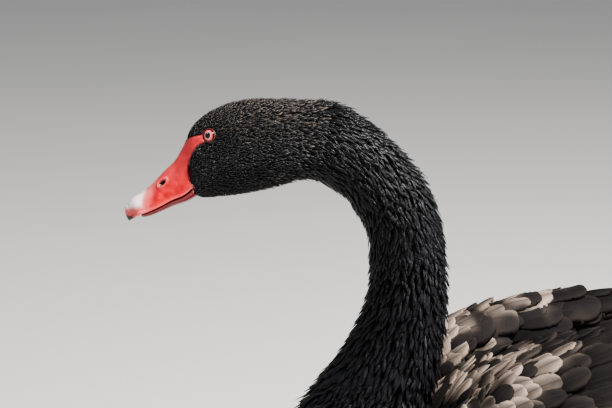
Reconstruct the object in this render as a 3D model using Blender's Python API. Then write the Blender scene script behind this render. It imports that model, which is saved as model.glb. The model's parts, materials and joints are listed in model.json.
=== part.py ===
"""A black swan at life size, standing on both webbed feet with its neck in an S.

The bird faces -X, its left side is -Y, and +Z is up. Its head and upper neck are turned HEAD_TURN degrees
to its right. Every part of the body is its own closed object, and touching parts keep GAP between them.
Tables are in millimetres, in the bird's own upright middle plane: along (towards the tail) and height.
"""

import math
import random
from collections import namedtuple

import bmesh
import bpy
from mathutils import Matrix, Vector

MM = 0.001
GAP = 0.3 * MM
HEAD_TURN = 25.0

HEAD_SIDES = 24
NECK_SIDES = 20
TORSO_SIDES = 28

# One slice of the body: its point on the crown, nape or back, its point on the throat, breast or belly,
# its width, how high between the two it is widest, and how far its plane is turned.
Slice = namedtuple("Slice", "top_along top_height low_along low_height width level turn")

HEAD_SLICES = [
    Slice(-160.0, 546.0, -152.0, 504.0, 27, 0.34, HEAD_TURN),
    Slice(-155.0, 557.0, -146.0, 503.5, 33, 0.40, HEAD_TURN),
    Slice(-145.0, 566.4, -136.0, 504.2, 38, 0.44, HEAD_TURN),
    Slice(-130.0, 574.0, -122.0, 505.8, 43, 0.46, HEAD_TURN),
    Slice(-112.0, 578.0, -107.0, 508.4, 46, 0.48, HEAD_TURN),
    Slice(-93.0, 578.0, -91.0, 512.2, 48, 0.50, HEAD_TURN),
    Slice(-76.0, 577.4, -78.0, 516.4, 47, 0.50, HEAD_TURN),
]
NECK_SLICES = [
    Slice(-58.0, 576.5, -68.0, 517.2, 46, 0.50, HEAD_TURN),
    Slice(-38.7, 570.9, -60.0, 515.0, 46, 0.50, HEAD_TURN),
    Slice(-10.3, 550.1, -43.0, 504.5, 46, 0.50, HEAD_TURN),
    Slice(14.6, 522.1, -30.5, 487.4, 47, 0.50, HEAD_TURN),
    Slice(29.0, 492.0, -24.2, 471.5, 48, 0.50, HEAD_TURN),
    Slice(35.5, 456.0, -23.0, 446.0, 49, 0.50, HEAD_TURN),
    Slice(37.5, 428.0, -25.0, 426.0, 52, 0.50, HEAD_TURN),
    Slice(36.5, 402.0, -33.5, 403.5, 57, 0.50, HEAD_TURN),
    Slice(33.5, 376.0, -47.0, 378.5, 66, 0.50, HEAD_TURN),
    Slice(27.5, 346.0, -71.3, 343.7, 82, 0.50, HEAD_TURN),
]
TORSO_SLICES = [
    Slice(24.0, 330.0, -96.0, 308.0, 108, 0.50, 19),
    Slice(25.0, 320.0, -121.0, 264.0, 142, 0.50, 11),
    Slice(36.0, 322.0, -131.0, 214.0, 170, 0.50, 4),
    Slice(62.0, 343.0, -112.0, 170.0, 190, 0.52, 0),
    Slice(101.0, 361.0, -62.0, 147.0, 202, 0.53, 0),
    Slice(150.0, 369.0, 10.0, 138.0, 207, 0.54, 0),
    Slice(205.0, 367.0, 92.0, 140.0, 203, 0.54, 0),
    Slice(258.0, 353.0, 170.0, 153.0, 187, 0.54, 0),
    Slice(310.0, 326.0, 240.0, 178.0, 158, 0.54, 0),
    Slice(357.0, 296.0, 304.0, 208.0, 118, 0.54, 0),
    Slice(394.0, 273.0, 354.0, 236.0, 74, 0.54, 0),
]
SPINE = HEAD_SLICES + NECK_SLICES + TORSO_SLICES

# Where the body is parted, counted in slices from the bill.
HEAD_END = len(HEAD_SLICES) - 1.0
NECK_UPPER_END = HEAD_END + 4.0
NECK_MIDDLE_END = HEAD_END + 7.0
NECK_END = HEAD_END + len(NECK_SLICES) + 1.0
TORSO_END = len(SPINE) - 1.0

# The bill: each slice has its point on the ridge, its point on the cutting edge, and its width there.
UPPER_BILL = [
    Slice(-160.3, 545.7, -154.3, 514.2, 27.0, 0, HEAD_TURN),
    Slice(-167.8, 532.0, -161.0, 508.4, 28.0, 0, HEAD_TURN),
    Slice(-176.6, 523.0, -170.2, 504.2, 27.0, 0, HEAD_TURN),
    Slice(-185.3, 513.7, -179.2, 499.2, 26.0, 0, HEAD_TURN),
    Slice(-193.2, 507.2, -187.8, 495.2, 26.0, 0, HEAD_TURN),
    Slice(-200.2, 503.0, -195.0, 492.4, 24.5, 0, HEAD_TURN),
    Slice(-205.0, 497.0, -200.4, 488.6, 17.0, 0, HEAD_TURN),
    Slice(-206.3, 491.0, -203.6, 486.2, 8.0, 0, HEAD_TURN),
]
LOWER_BILL = [
    Slice(-154.4, 513.2, -152.1, 504.3, 24.0, 0.6, HEAD_TURN),
    Slice(-160.8, 507.5, -159.2, 500.6, 24.0, 0.6, HEAD_TURN),
    Slice(-170.2, 503.3, -168.9, 497.4, 22.5, 0.6, HEAD_TURN),
    Slice(-179.2, 498.3, -178.2, 493.1, 21.0, 0.6, HEAD_TURN),
    Slice(-187.6, 494.3, -187.0, 489.5, 19.5, 0.6, HEAD_TURN),
    Slice(-194.4, 491.5, -194.2, 487.7, 13.0, 0.6, HEAD_TURN),
]
NOSTRIL_ALONG, NOSTRIL_HEIGHT = -177.4, 516.2
NOSTRIL_LENGTH, NOSTRIL_TALL, NOSTRIL_DEPTH = 6.6, 3.0, 3.0
BILL_SLOPE = 40.0

EYE_ALONG, EYE_HEIGHT = -142.1, 553.6
EYE_RADIUS, EYE_SUNK = 6.2, 5.0
LID_RADIUS, LID_THICK = 5.0, 1.1

# The folded wing, in fractions of its length and, across, in degrees round the torso from the back's middle.
WING_START, WING_END = 18.6, 27.0
WING_REACH = 1.36
WING_THICK = 35.0
# How deep the wing's core is sunk into the torso's side, before it is cut free of it.
WING_CORE_SUNK = 3.0
# How much of the core's depth is left past the end of the torso.
WING_TIP_DEPTH = 0.4
WING_CORE_LENGTHS = (0.0, 0.05, 0.12, 0.22, 0.34, 0.48, 0.62, 0.76, 0.88, 1.0, 1.08)
WING_SHAPE = [
    # fraction of length, upper edge, lower edge, share of the full thickness
    (0.00, 58, 84, 0.10),
    (0.06, 38, 98, 0.62),
    (0.14, 24, 106, 0.92),
    (0.24, 18, 109, 1.00),
    (0.45, 16, 108, 1.00),
    (0.70, 13, 103, 0.94),
    (1.00, 10, 96, 0.68),
    (1.20, 10, 88, 0.45),
    (WING_REACH, 22, 74, 0.20),
]
# How thick the wing is across, from its upper to its lower edge: arched high over the back, flat on the flank.
WING_ARCH = [(0.0, 0.0), (0.05, 0.62), (0.12, 0.93), (0.2, 1.0), (0.35, 0.86), (0.6, 0.6), (0.85, 0.4), (1.0, 0.0)]
WING_CORE_ACROSS = (0.0, 0.05, 0.12, 0.2, 0.35, 0.52, 0.7, 0.85, 1.0)

# A row of vanes on the wing: where it is rooted and where it ends in fractions of the wing's length, its
# first and last place across, how many vanes it has, their half width across, how far their tips curl up,
# how far each is tilted over its lower neighbour, and how many stations it has.
FeatherRow = namedtuple("FeatherRow", "root tip first last count half curl tilt stations")
WING_ROWS = [
    FeatherRow(0.10, 0.27, 0.14, 0.84, 5, 0.120, 0.5, 1.4, 3),
    FeatherRow(0.21, 0.42, 0.12, 0.87, 6, 0.108, 2.0, 1.3, 3),
    FeatherRow(0.35, 0.60, 0.12, 0.88, 6, 0.110, 5.0, 1.3, 3),
    FeatherRow(0.52, 0.80, 0.12, 0.86, 6, 0.110, 8.0, 1.3, 4),
    FeatherRow(0.71, 1.03, 0.14, 0.84, 5, 0.126, 9.0, 1.4, 4),
    FeatherRow(0.90, 1.26, 0.15, 0.60, 4, 0.112, 7.0, 1.6, 4),
    FeatherRow(0.92, WING_REACH, 0.72, 0.87, 3, 0.052, 0.0, 2.8, 3),
]
VANE_THICK, VANE_EDGE = 1.0, 0.6
# A vane's height over what carries it, along its length: sunk at the root, then clear of the core and rising.
VANE_SUNK = 2.8
VANE_LIFT = [(0.2, 2.0), (1.0, 5.6)]
VANE_CAMBER = 0.6
# How wide a vane is along its length, as shares of its half width, from root to tip.
VANE_OUTLINE = [(0.2, 0.75), (0.6, 1.0), (0.85, 0.8), (1.0, 0.28)]
# Where a vane's stations lie along its length after its root, for one of three and one of four stations.
VANE_STATIONS = {3: (0.2, 0.68, 1.0), 4: (0.2, 0.55, 0.84, 1.0)}
RUFFLE_SEED = 11

TAIL_LENGTH, TAIL_ROOT = 128.0, 26.0
TAIL_SPREAD, TAIL_DROOP = 22.0, 9.0
TAIL_ALONG, TAIL_HEIGHT = 366.0, 253.0
TAIL_CORE_SHARE = 0.45
TAIL_VANES, TAIL_VANE_HALF, TAIL_TILT = 13, 12.0, 2.2
TAIL_ROOT_LIFT = 0.3
# Each row of tail coverts: its lift over or under the fan, and how far back its tips reach.
TAIL_COVERTS = [(7.0, 0.62), (-6.5, 0.58)]
COVERT_COUNT, COVERT_HALF, COVERT_SPREAD, COVERT_TILT = 4, 15.0, 0.58, 1.6
TAIL_ROOM = 9.0

LEG_ASIDE = 52.0
HOCK_ALONG, HOCK_HEIGHT = 172.0, 122.0
ANKLE_ALONG, ANKLE_HEIGHT = 148.0, 17.0
TOE_ANGLES = {"inner": -24.0, "middle": 0.0, "outer": 22.0}
TOE_LENGTHS = {"inner": 84.0, "middle": 108.0, "outer": 100.0}
FOOT_OUTWARD = 8.0
WEB_THICK, WEB_LIFT = 2.0, 1.0
# A toe's middle lies this share of its radius above the floor, which leaves a flat sole under it.
SOLE_LEVEL = 0.7
CLAW_LENGTH, CLAW_RADIUS = 11.0, 2.6
CLAW_TIP_RADIUS = 0.5

FEATHER_BLACK = (0.018, 0.018, 0.021, 1)
BILL_RED = (0.62, 0.035, 0.045, 1)
LEG_GREY = (0.035, 0.033, 0.034, 1)
EYE_RED = (0.55, 0.05, 0.06, 1)


def clear_scene():
    for thing in list(bpy.data.objects):
        bpy.data.objects.remove(thing, do_unlink=True)


def material(name, colour, roughness):
    made = bpy.data.materials.new(name)
    made.use_nodes = True
    shader = made.node_tree.nodes["Principled BSDF"]
    shader.inputs["Base Color"].default_value = colour
    shader.inputs["Roughness"].default_value = roughness
    shader.inputs["Metallic"].default_value = 0.0
    return made


def object_from(name, mesh_data, finish):
    """A scene object that holds a bmesh, with its faces turned outwards and shaded smooth."""
    bmesh.ops.recalc_face_normals(mesh_data, faces=mesh_data.faces)
    mesh = bpy.data.meshes.new(name)
    mesh_data.to_mesh(mesh)
    mesh_data.free()
    mesh.shade_smooth()
    mesh.set_sharp_from_angle(angle=math.radians(45))
    mesh.materials.append(finish)
    made = bpy.data.objects.new(name, mesh)
    bpy.context.scene.collection.objects.link(made)
    return made


def apply_modifiers(target):
    graph = bpy.context.evaluated_depsgraph_get()
    mesh = bpy.data.meshes.new_from_object(target.evaluated_get(graph))
    target.modifiers.clear()
    target.data = mesh


def keep_largest_surface(target):
    """Drops every closed surface of the object but its largest."""
    mesh_data = bmesh.new()
    mesh_data.from_mesh(target.data)
    unseen = set(mesh_data.faces)
    surfaces = []
    while unseen:
        reached = [unseen.pop()]
        for face in reached:
            for edge in face.edges:
                for other in edge.link_faces:
                    if other in unseen:
                        unseen.remove(other)
                        reached.append(other)
        surfaces.append(reached)
    surfaces.sort(key=lambda faces: sum(face.calc_area() for face in faces))
    for faces in surfaces[:-1]:
        bmesh.ops.delete(mesh_data, geom=faces, context="FACES")
    mesh_data.to_mesh(target.data)
    mesh_data.free()


def remove_objects(things):
    for thing in things:
        bpy.data.objects.remove(thing, do_unlink=True)


def join_to(target, pieces):
    """Joins closed pieces to the target with one union, and removes them."""
    group = bpy.data.collections.new(target.name + "_pieces")
    bpy.context.scene.collection.children.link(group)
    for piece in pieces:
        bpy.context.scene.collection.objects.unlink(piece)
        group.objects.link(piece)
    union = target.modifiers.new("join", "BOOLEAN")
    union.operation = "UNION"
    union.operand_type = "COLLECTION"
    union.collection = group
    union.solver = "MANIFOLD"
    apply_modifiers(target)
    remove_objects(pieces)
    bpy.data.collections.remove(group)
    keep_largest_surface(target)


def cut_from(target, cutters):
    """Cuts each cutter out of the target, and removes it."""
    for cutter in cutters:
        cut = target.modifiers.new("cut", "BOOLEAN")
        cut.operation = "DIFFERENCE"
        cut.object = cutter
        cut.solver = "MANIFOLD"
    apply_modifiers(target)
    remove_objects(cutters)
    keep_largest_surface(target)


def smooth_through(rows, place):
    """The row at a fractional place on the smooth curve through the rows."""
    last = len(rows) - 1
    first = min(max(int(place), 0), last - 1)
    part = place - first
    before, start, end, after = (rows[min(max(first + k, 0), last)] for k in (-1, 0, 1, 2))
    return [
        0.5
        * (
            2 * b
            + (c - a) * part
            + (2 * a - 5 * b + 4 * c - d) * part**2
            + (3 * b - a - 3 * c + d) * part**3
        )
        for a, b, c, d in zip(before, start, end, after)
    ]


def straight_through(rows, place):
    """The values beside a place, on straight lines through rows whose first value is their place."""
    for start, end in zip(rows, rows[1:]):
        if place <= end[0]:
            break
    part = (place - start[0]) / (end[0] - start[0])
    return [a + (b - a) * part for a, b in zip(start[1:], end[1:])]


def plane_axes(turn):
    """The directions along and across (towards the bird's left) in a plane turned by so many degrees."""
    angle = math.radians(turn)
    return (
        Vector((math.cos(angle), -math.sin(angle), 0)),
        Vector((-math.sin(angle), -math.cos(angle), 0)),
    )


def place_in_plane(along, height, turn, aside=0.0):
    """A point of the bird from its place in a turned middle plane, in millimetres."""
    forward, across = plane_axes(turn)
    return (forward * along + across * aside + Vector((0, 0, height))) * MM


def slice_point(row, angle):
    """The point of a slice at an angle round it, from the back's middle towards the bird's left."""
    top_along, top_height, low_along, low_height, width, level, turn = row
    top = place_in_plane(top_along, top_height, turn)
    low = place_in_plane(low_along, low_height, turn)
    rise = math.cos(angle)
    share = level + (1 - level) * rise if rise > 0 else level + level * rise
    across = plane_axes(turn)[1] * (width * MM / 2) * math.sin(angle)
    return low.lerp(top, share) + across


def arch_point(row, angle):
    """The point of a slice of the upper bill: a narrowed arch from edge to edge, flat below."""
    top_along, top_height, low_along, low_height, width, _, turn = row
    top = place_in_plane(top_along, top_height, turn)
    low = place_in_plane(low_along, low_height, turn)
    rise = max(math.cos(angle), 0.0)
    swing = math.sin(angle)
    if math.cos(angle) < 0:
        return low + plane_axes(turn)[1] * (width * MM / 2) * swing
    across = (width * MM / 2) * math.copysign(abs(swing) ** 0.8, swing) * (1 - 0.25 * rise)
    return low.lerp(top, rise**0.9) + plane_axes(turn)[1] * across


def loft(rings):
    """A bmesh of triangles skinned through rings of points, with a flat cap at each end."""
    mesh_data = bmesh.new()
    vertex_rings = [[mesh_data.verts.new(point) for point in ring] for ring in rings]
    for ring, following in zip(vertex_rings, vertex_rings[1:]):
        for k, corner in enumerate(ring):
            after = (k + 1) % len(ring)
            mesh_data.faces.new((corner, ring[after], following[after], following[k]))
    mesh_data.faces.new(vertex_rings[0])
    mesh_data.faces.new(vertex_rings[-1])
    bmesh.ops.triangulate(mesh_data, faces=mesh_data.faces)
    return mesh_data


def ring_of(row, sides, shape=slice_point):
    return [shape(row, 2 * math.pi * k / sides) for k in range(sides)]


def shifted(ring, distance, towards):
    """A flat ring moved by a distance square to its own plane, to the side of another point."""
    centre = sum(ring, Vector()) / len(ring)
    quarter = len(ring) // 4
    square = (ring[0] - centre).cross(ring[quarter] - centre).normalized()
    if square.dot(towards - centre) < 0:
        square = -square
    return [point + square * distance for point in ring]


def body_length(name, start, end, count, sides, finish):
    """One length of the body, from slice to slice, that starts GAP after the length before it."""
    places = [start + (end - start) * k / count for k in range(count + 1)]
    rings = [ring_of(smooth_through(SPINE, place), sides) for place in places]
    centre = sum(rings[1], Vector()) / sides
    rings[0] = shifted(rings[0], GAP, centre)
    return object_from(name, loft(rings), finish)


def torso_point(place, angle_degrees):
    return slice_point(smooth_through(SPINE, place), math.radians(angle_degrees))


def torso_normal(place, angle_degrees):
    """The outward direction of the torso's surface on the bird's left side."""
    step = 0.02
    place = min(place, TORSO_END - step)
    back = torso_point(place + step, angle_degrees) - torso_point(place - step, angle_degrees)
    round_it = torso_point(place, angle_degrees + 1) - torso_point(place, angle_degrees - 1)
    return round_it.cross(back).normalized()


def grown(source, distance):
    """A hidden copy of an object whose surface lies further out, to cut its neighbours with."""
    copy = source.copy()
    copy.data = source.data.copy()
    copy.name = source.name + "_cutter"
    bpy.context.scene.collection.objects.link(copy)
    for vertex, normal in zip(copy.data.vertices, source.data.vertex_normals):
        vertex.co += normal.vector * distance
    return copy


def ellipsoid(name, centre, radii, turn, slope, finish, segments=16):
    """A closed ball with three radii, sloped in the turned middle plane."""
    mesh_data = bmesh.new()
    bmesh.ops.create_uvsphere(mesh_data, u_segments=segments, v_segments=segments // 2, radius=MM)
    placed = (
        Matrix.Translation(centre)
        @ Matrix.Rotation(math.radians(-turn), 4, "Z")
        @ Matrix.Rotation(math.radians(-slope), 4, "Y")
        @ Matrix.Diagonal((*radii, 1))
    )
    bmesh.ops.transform(mesh_data, matrix=placed, verts=mesh_data.verts)
    return object_from(name, mesh_data, finish)


def eye_site(head, side):
    """The point and the outward direction of the head's surface at the eye. Side is 1 for left, -1 for right."""
    start = place_in_plane(EYE_ALONG, EYE_HEIGHT, HEAD_TURN, side * 60)
    inward = -plane_axes(HEAD_TURN)[1] * side
    _, point, normal, _ = head.ray_cast(start, inward)
    return point, normal


def make_head(finish, eye_finish):
    """The feathered head with a raised lid round each eye, and the two eyeballs in their sockets."""
    head = body_length("head", 0.0, HEAD_END, 12, HEAD_SIDES, finish)
    lids, sockets = [], []
    for side, word in ((1, "left"), (-1, "right")):
        point, normal = eye_site(head, side)
        facing = normal.to_track_quat("Z", "Y").to_matrix().to_4x4()
        lids.append(lid_ring(point, facing, finish))
        centre = point - normal * EYE_SUNK * MM
        sockets.append(ball("socket", centre, facing, EYE_RADIUS * MM + GAP, finish))
        ball("eye_" + word, centre, facing, EYE_RADIUS * MM, eye_finish)
    join_to(head, lids)
    cut_from(head, sockets)
    return head


def ball(name, centre, facing, radius, finish):
    mesh_data = bmesh.new()
    bmesh.ops.create_uvsphere(mesh_data, u_segments=16, v_segments=10, radius=radius)
    bmesh.ops.transform(mesh_data, matrix=Matrix.Translation(centre) @ facing, verts=mesh_data.verts)
    return object_from(name, mesh_data, finish)


def lid_ring(centre, facing, finish, around=16, section=6):
    """The swollen rim of skin round the eye."""
    mesh_data = bmesh.new()
    rings = []
    for k in range(around):
        turn = 2 * math.pi * k / around
        ring = []
        for j in range(section):
            swing = 2 * math.pi * j / section
            reach = LID_RADIUS + LID_THICK * math.cos(swing)
            lift = LID_THICK * math.sin(swing)
            ring.append(Vector((reach * math.cos(turn), reach * math.sin(turn), lift)) * MM)
        rings.append([mesh_data.verts.new(point) for point in ring])
    for k, ring in enumerate(rings):
        following = rings[(k + 1) % around]
        for j in range(section):
            after = (j + 1) % section
            mesh_data.faces.new((ring[j], ring[after], following[after], following[j]))
    placed = Matrix.Translation(centre) @ facing
    bmesh.ops.transform(mesh_data, matrix=placed, verts=mesh_data.verts)
    return object_from("lid", mesh_data, finish)


def make_bill(finish):
    """The upper bill, cut by its two nostrils, and the lower bill under its edge."""
    steps = 2 * (len(UPPER_BILL) - 1)
    rings = [ring_of(smooth_through(UPPER_BILL, k / 2), NECK_SIDES, arch_point) for k in range(steps + 1)]
    upper = object_from("bill_upper", loft(rings), finish)
    nostrils = []
    for side in (1, -1):
        outside = place_in_plane(NOSTRIL_ALONG, NOSTRIL_HEIGHT, HEAD_TURN, side * 30)
        _, point, _, _ = upper.ray_cast(outside, -plane_axes(HEAD_TURN)[1] * side)
        radii = (NOSTRIL_LENGTH / 2, NOSTRIL_DEPTH, NOSTRIL_TALL / 2)
        nostrils.append(ellipsoid("nostril", point, radii, HEAD_TURN, BILL_SLOPE, finish, 12))
    cut_from(upper, nostrils)
    steps = 2 * (len(LOWER_BILL) - 1)
    rings = [ring_of(smooth_through(LOWER_BILL, k / 2), 16) for k in range(steps + 1)]
    object_from("bill_lower", loft(rings), finish)


def vane(root, stations, finish):
    """One feather as a thin closed plate: a pointed root, then stations of three points, alike on both faces."""
    last = len(stations) - 1
    halves = [share * MM / 2 for share in (VANE_EDGE, VANE_THICK, VANE_EDGE)]
    mesh_data = bmesh.new()
    upper, lower = [], []
    for j, station in enumerate(stations):
        before = stations[j - 1][1] if j else root
        along = stations[min(j + 1, last)][1] - before
        up = along.cross(station[2] - station[0]).normalized()
        upper.append([mesh_data.verts.new(point + up * half) for point, half in zip(station, halves)])
        lower.append([mesh_data.verts.new(point - up * half) for point, half in zip(station, halves)])
    quill = (stations[0][1] - root).cross(stations[0][2] - stations[0][0]).normalized() * halves[1]
    ends = (mesh_data.verts.new(root + quill), mesh_data.verts.new(root - quill))
    for end, rows in zip(ends, (upper, lower)):
        for k in (0, 1):
            mesh_data.faces.new((end, rows[0][k], rows[0][k + 1]))
            for near, far in zip(rows, rows[1:]):
                mesh_data.faces.new((near[k], near[k + 1], far[k + 1]))
                mesh_data.faces.new((near[k], far[k + 1], far[k]))
    for k in (0, 2):
        edge = [(ends[0], ends[1])] + [(high[k], low[k]) for high, low in zip(upper, lower)]
        for (a, b), (c, d) in zip(edge, edge[1:]):
            mesh_data.faces.new((a, c, d))
            mesh_data.faces.new((a, d, b))
    for k in (0, 1):
        mesh_data.faces.new((upper[last][k], upper[last][k + 1], lower[last][k + 1]))
        mesh_data.faces.new((upper[last][k], lower[last][k + 1], lower[last][k]))
    return object_from("vane", mesh_data, finish)


def wing_vane(row, across, curl, finish):
    """A feather of the left wing, rooted in its core, that lies back over the next row."""
    stations = []
    for share in VANE_STATIONS[row.stations]:
        length = row.root + (row.tip - row.root) * share
        half = row.half * straight_through(VANE_OUTLINE, share)[0]
        lift = straight_through(VANE_LIFT, share)[0] + curl * max(0.0, 2 * share - 1) ** 2
        station = []
        for column in (-1, 0, 1):
            camber = VANE_CAMBER if column == 0 else 0.0
            tilt = -row.tilt * column * half / row.half
            station.append(wing_surface(length, across + column * half, lift + camber + tilt))
        stations.append(station)
    return vane(wing_surface(row.root, across, -VANE_SUNK), stations, finish)


def wing_vanes(finish):
    """All feathers of the left wing, row by row, each with its own curl."""
    chance = random.Random(RUFFLE_SEED)
    made = []
    for row in WING_ROWS:
        spacing = (row.last - row.first) / (row.count - 1)
        for k in range(row.count):
            across = row.first + spacing * k
            curl = row.curl * chance.uniform(0.7, 1.1)
            made.append(wing_vane(row, across, curl, finish))
    return made


def wing_surface(length, across, lift=0.0):
    """A point of the left folded wing's outer surface, from its fractions of length and of width."""
    upper, lower, thick = straight_through(WING_SHAPE, min(max(length, 0.0), WING_REACH))
    inside = min(length, 1.0)
    place = WING_START + (WING_END - WING_START) * inside
    angle = upper + (lower - upper) * across
    normal = torso_normal(place, angle)
    arch = straight_through(WING_ARCH, min(max(across, 0.0), 1.0))[0]
    point = torso_point(place, angle) + normal * (WING_THICK * thick * arch + lift) * MM
    if length > 1.0:
        back = torso_point(WING_END, angle) - torso_point(WING_END - 1.0, angle)
        flat_back = Vector((back.x, back.y * 0.35, back.z * 0.45))
        point += flat_back * (length - 1.0) * (WING_END - WING_START)
    return point


def wing_core_ring(length):
    """A closed ring round the wing at one fraction of its length: its outer side, then its inner side."""
    thick = straight_through(WING_SHAPE, length)[2]
    outer, inner = [], []
    for across in WING_CORE_ACROSS:
        arch = straight_through(WING_ARCH, across)[0]
        outer.append(wing_surface(length, across))
        inner.append(wing_surface(length, across, -WING_THICK * thick * arch - WING_CORE_SUNK))
    if length > 1.0:
        inner = [outside.lerp(inside, WING_TIP_DEPTH) for outside, inside in zip(outer, inner)]
    return outer + inner[::-1]


def make_wing(word, mirror, torso_room, tail_room, finish):
    """A folded wing: a thin core that lies on the torso's side, under its rows of feathers."""
    wing = object_from("wing_" + word, loft([wing_core_ring(length) for length in WING_CORE_LENGTHS]), finish)
    pieces = wing_vanes(finish)
    if mirror:
        for piece in [wing] + pieces:
            mirror_across(piece)
    cut_from(wing, [torso_room])
    join_to(wing, pieces)
    cut_from(wing, [tail_room])


def mirror_across(target):
    """Turns a left part into a right one."""
    for vertex in target.data.vertices:
        vertex.co.y = -vertex.co.y
    target.data.flip_normals()


def tail_point(reach, across, lift=0.0):
    """A point of the tail's fan, from its distance from the root, its share across and its lift."""
    droop = math.radians(TAIL_DROOP)
    half = 22 + reach * math.tan(math.radians(TAIL_SPREAD))
    sag = 6 * across**2
    along = TAIL_ALONG + reach * math.cos(droop) + lift * math.sin(droop)
    height = TAIL_HEIGHT - reach * math.sin(droop) + (lift - sag) * math.cos(droop)
    return Vector((along, -across * half, height)) * MM


def tail_wedge(name, end, thick_root, thick_end, finish, widened=0.0):
    """A closed wedge along the fan, from the root to a distance from it."""
    rings = []
    for share in (0.0, 0.25, 0.5, 0.75, 1.0):
        thick = thick_root + (thick_end - thick_root) * share
        ring = []
        for k in range(16):
            swing = 2 * math.pi * k / 16
            ring.append(tail_point(end * share, (1 + widened) * math.sin(swing), thick * math.cos(swing)))
        rings.append(ring)
    return object_from(name, loft(rings), finish)


def tail_vane(across, lift, tilt, root, tip, half, finish):
    """A feather of the tail, from its distances at root and tip and its half width in millimetres."""
    made = []
    for share in VANE_STATIONS[3]:
        reach = root + (tip - root) * share
        wide = half * straight_through(VANE_OUTLINE, share)[0]
        fan = 22 + reach * math.tan(math.radians(TAIL_SPREAD))
        station = []
        for column in (-1, 0, 1):
            camber = VANE_CAMBER if column == 0 else 0.0
            rise = lift + camber + tilt * column * wide / half
            station.append(tail_point(reach, across + column * wide / fan, rise))
        made.append(station)
    return vane(tail_point(root, across, lift * TAIL_ROOT_LIFT), made, finish)


def make_tail(torso, finish):
    """The tail: a fan of feathers out of the rump, with a row of coverts over it and one under it."""
    full = TAIL_LENGTH + TAIL_ROOT
    tail = tail_wedge("tail", full * TAIL_CORE_SHARE, 20.0, 2.0, finish)
    pieces = []
    side_count = TAIL_VANES // 2
    for k in range(-side_count, side_count + 1):
        across = 0.93 * k / side_count
        tilt = math.copysign(TAIL_TILT, -across) if k else 0.0
        lift = 0.4 if k else 2.8
        tip = full * (1.0 - 0.1 * across**2)
        pieces.append(tail_vane(across, lift, tilt, full * 0.2, tip, TAIL_VANE_HALF, finish))
    for lift, tip in TAIL_COVERTS:
        for k in range(COVERT_COUNT):
            across = COVERT_SPREAD * (2 * k / (COVERT_COUNT - 1) - 1)
            pieces.append(tail_vane(across, lift, COVERT_TILT, full * 0.18, full * tip, COVERT_HALF, finish))
    join_to(tail, pieces)
    cut_from(tail, [grown(torso, GAP)])
    return tail_wedge("tail_room", full * 1.05, TAIL_ROOM + 13, TAIL_ROOM, finish, 0.2)


def limb(path, radii, sides, squeeze=1.0, floor=None):
    """A bmesh tube through points with a radius at each, narrowed sideways and flattened at the floor."""
    rings = []
    for k, point in enumerate(path):
        before, after = path[max(k - 1, 0)], path[min(k + 1, len(path) - 1)]
        along = (after - before).normalized()
        across = along.cross(Vector((0, 0, 1)))
        if across.length < 0.1:
            across = along.cross(Vector((1, 0, 0)))
        across.normalize()
        up = across.cross(along)
        ring = []
        for j in range(sides):
            swing = 2 * math.pi * j / sides
            spot = point + across * radii[k] * squeeze * math.cos(swing) + up * radii[k] * math.sin(swing)
            if floor is not None and spot.z < floor:
                spot.z = floor
            ring.append(spot)
        rings.append(ring)
    return loft(rings)


def leg_point(along, height, side, aside=LEG_ASIDE):
    return Vector((along, -side * aside, height)) * MM


def make_leg(word, side, torso, skin, feathers):
    """One leg: the feathered thigh, the bare shank, and the webbed foot with its claws."""
    hock = leg_point(HOCK_ALONG, HOCK_HEIGHT, side)
    ankle = leg_point(ANKLE_ALONG, ANKLE_HEIGHT, side)
    knee = leg_point(HOCK_ALONG - 46, HOCK_HEIGHT + 74, side)
    thigh_path = [knee.lerp(hock, share) for share in (0.0, 0.3, 0.55, 0.78, 0.93, 1.0)]
    thigh_radii = [radius * MM for radius in (44, 42, 34, 22, 13.5, 9)]
    thigh = object_from("thigh_" + word, limb(thigh_path, thigh_radii, 16, 0.85), feathers)
    cut_from(thigh, [grown(torso, GAP)])
    above = (hock - knee).normalized()
    bend = hock + above * 6 * MM
    shank_path = [hock + above * GAP, hock + above * 3 * MM]
    shank_path += [bend.lerp(ankle, share) for share in (0.05, 0.16, 0.5, 0.85, 0.97, 1.0)]
    shank_radii = [radius * MM for radius in (9.0, 9.4, 8.8, 6.6, 5.4, 6.4, 7.0, 7.0)]
    down = (ankle - bend).normalized()
    object_from("shank_" + word, limb(shank_path, shank_radii, 12, 0.85), skin)
    make_foot(word, side, ankle + down * GAP, down, skin)


def toe_direction(name, side):
    """Where a toe points: the foot looks ahead and a little outwards."""
    angle = math.radians(FOOT_OUTWARD + TOE_ANGLES[name])
    return Vector((-math.cos(angle), -side * math.sin(angle), 0))


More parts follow.
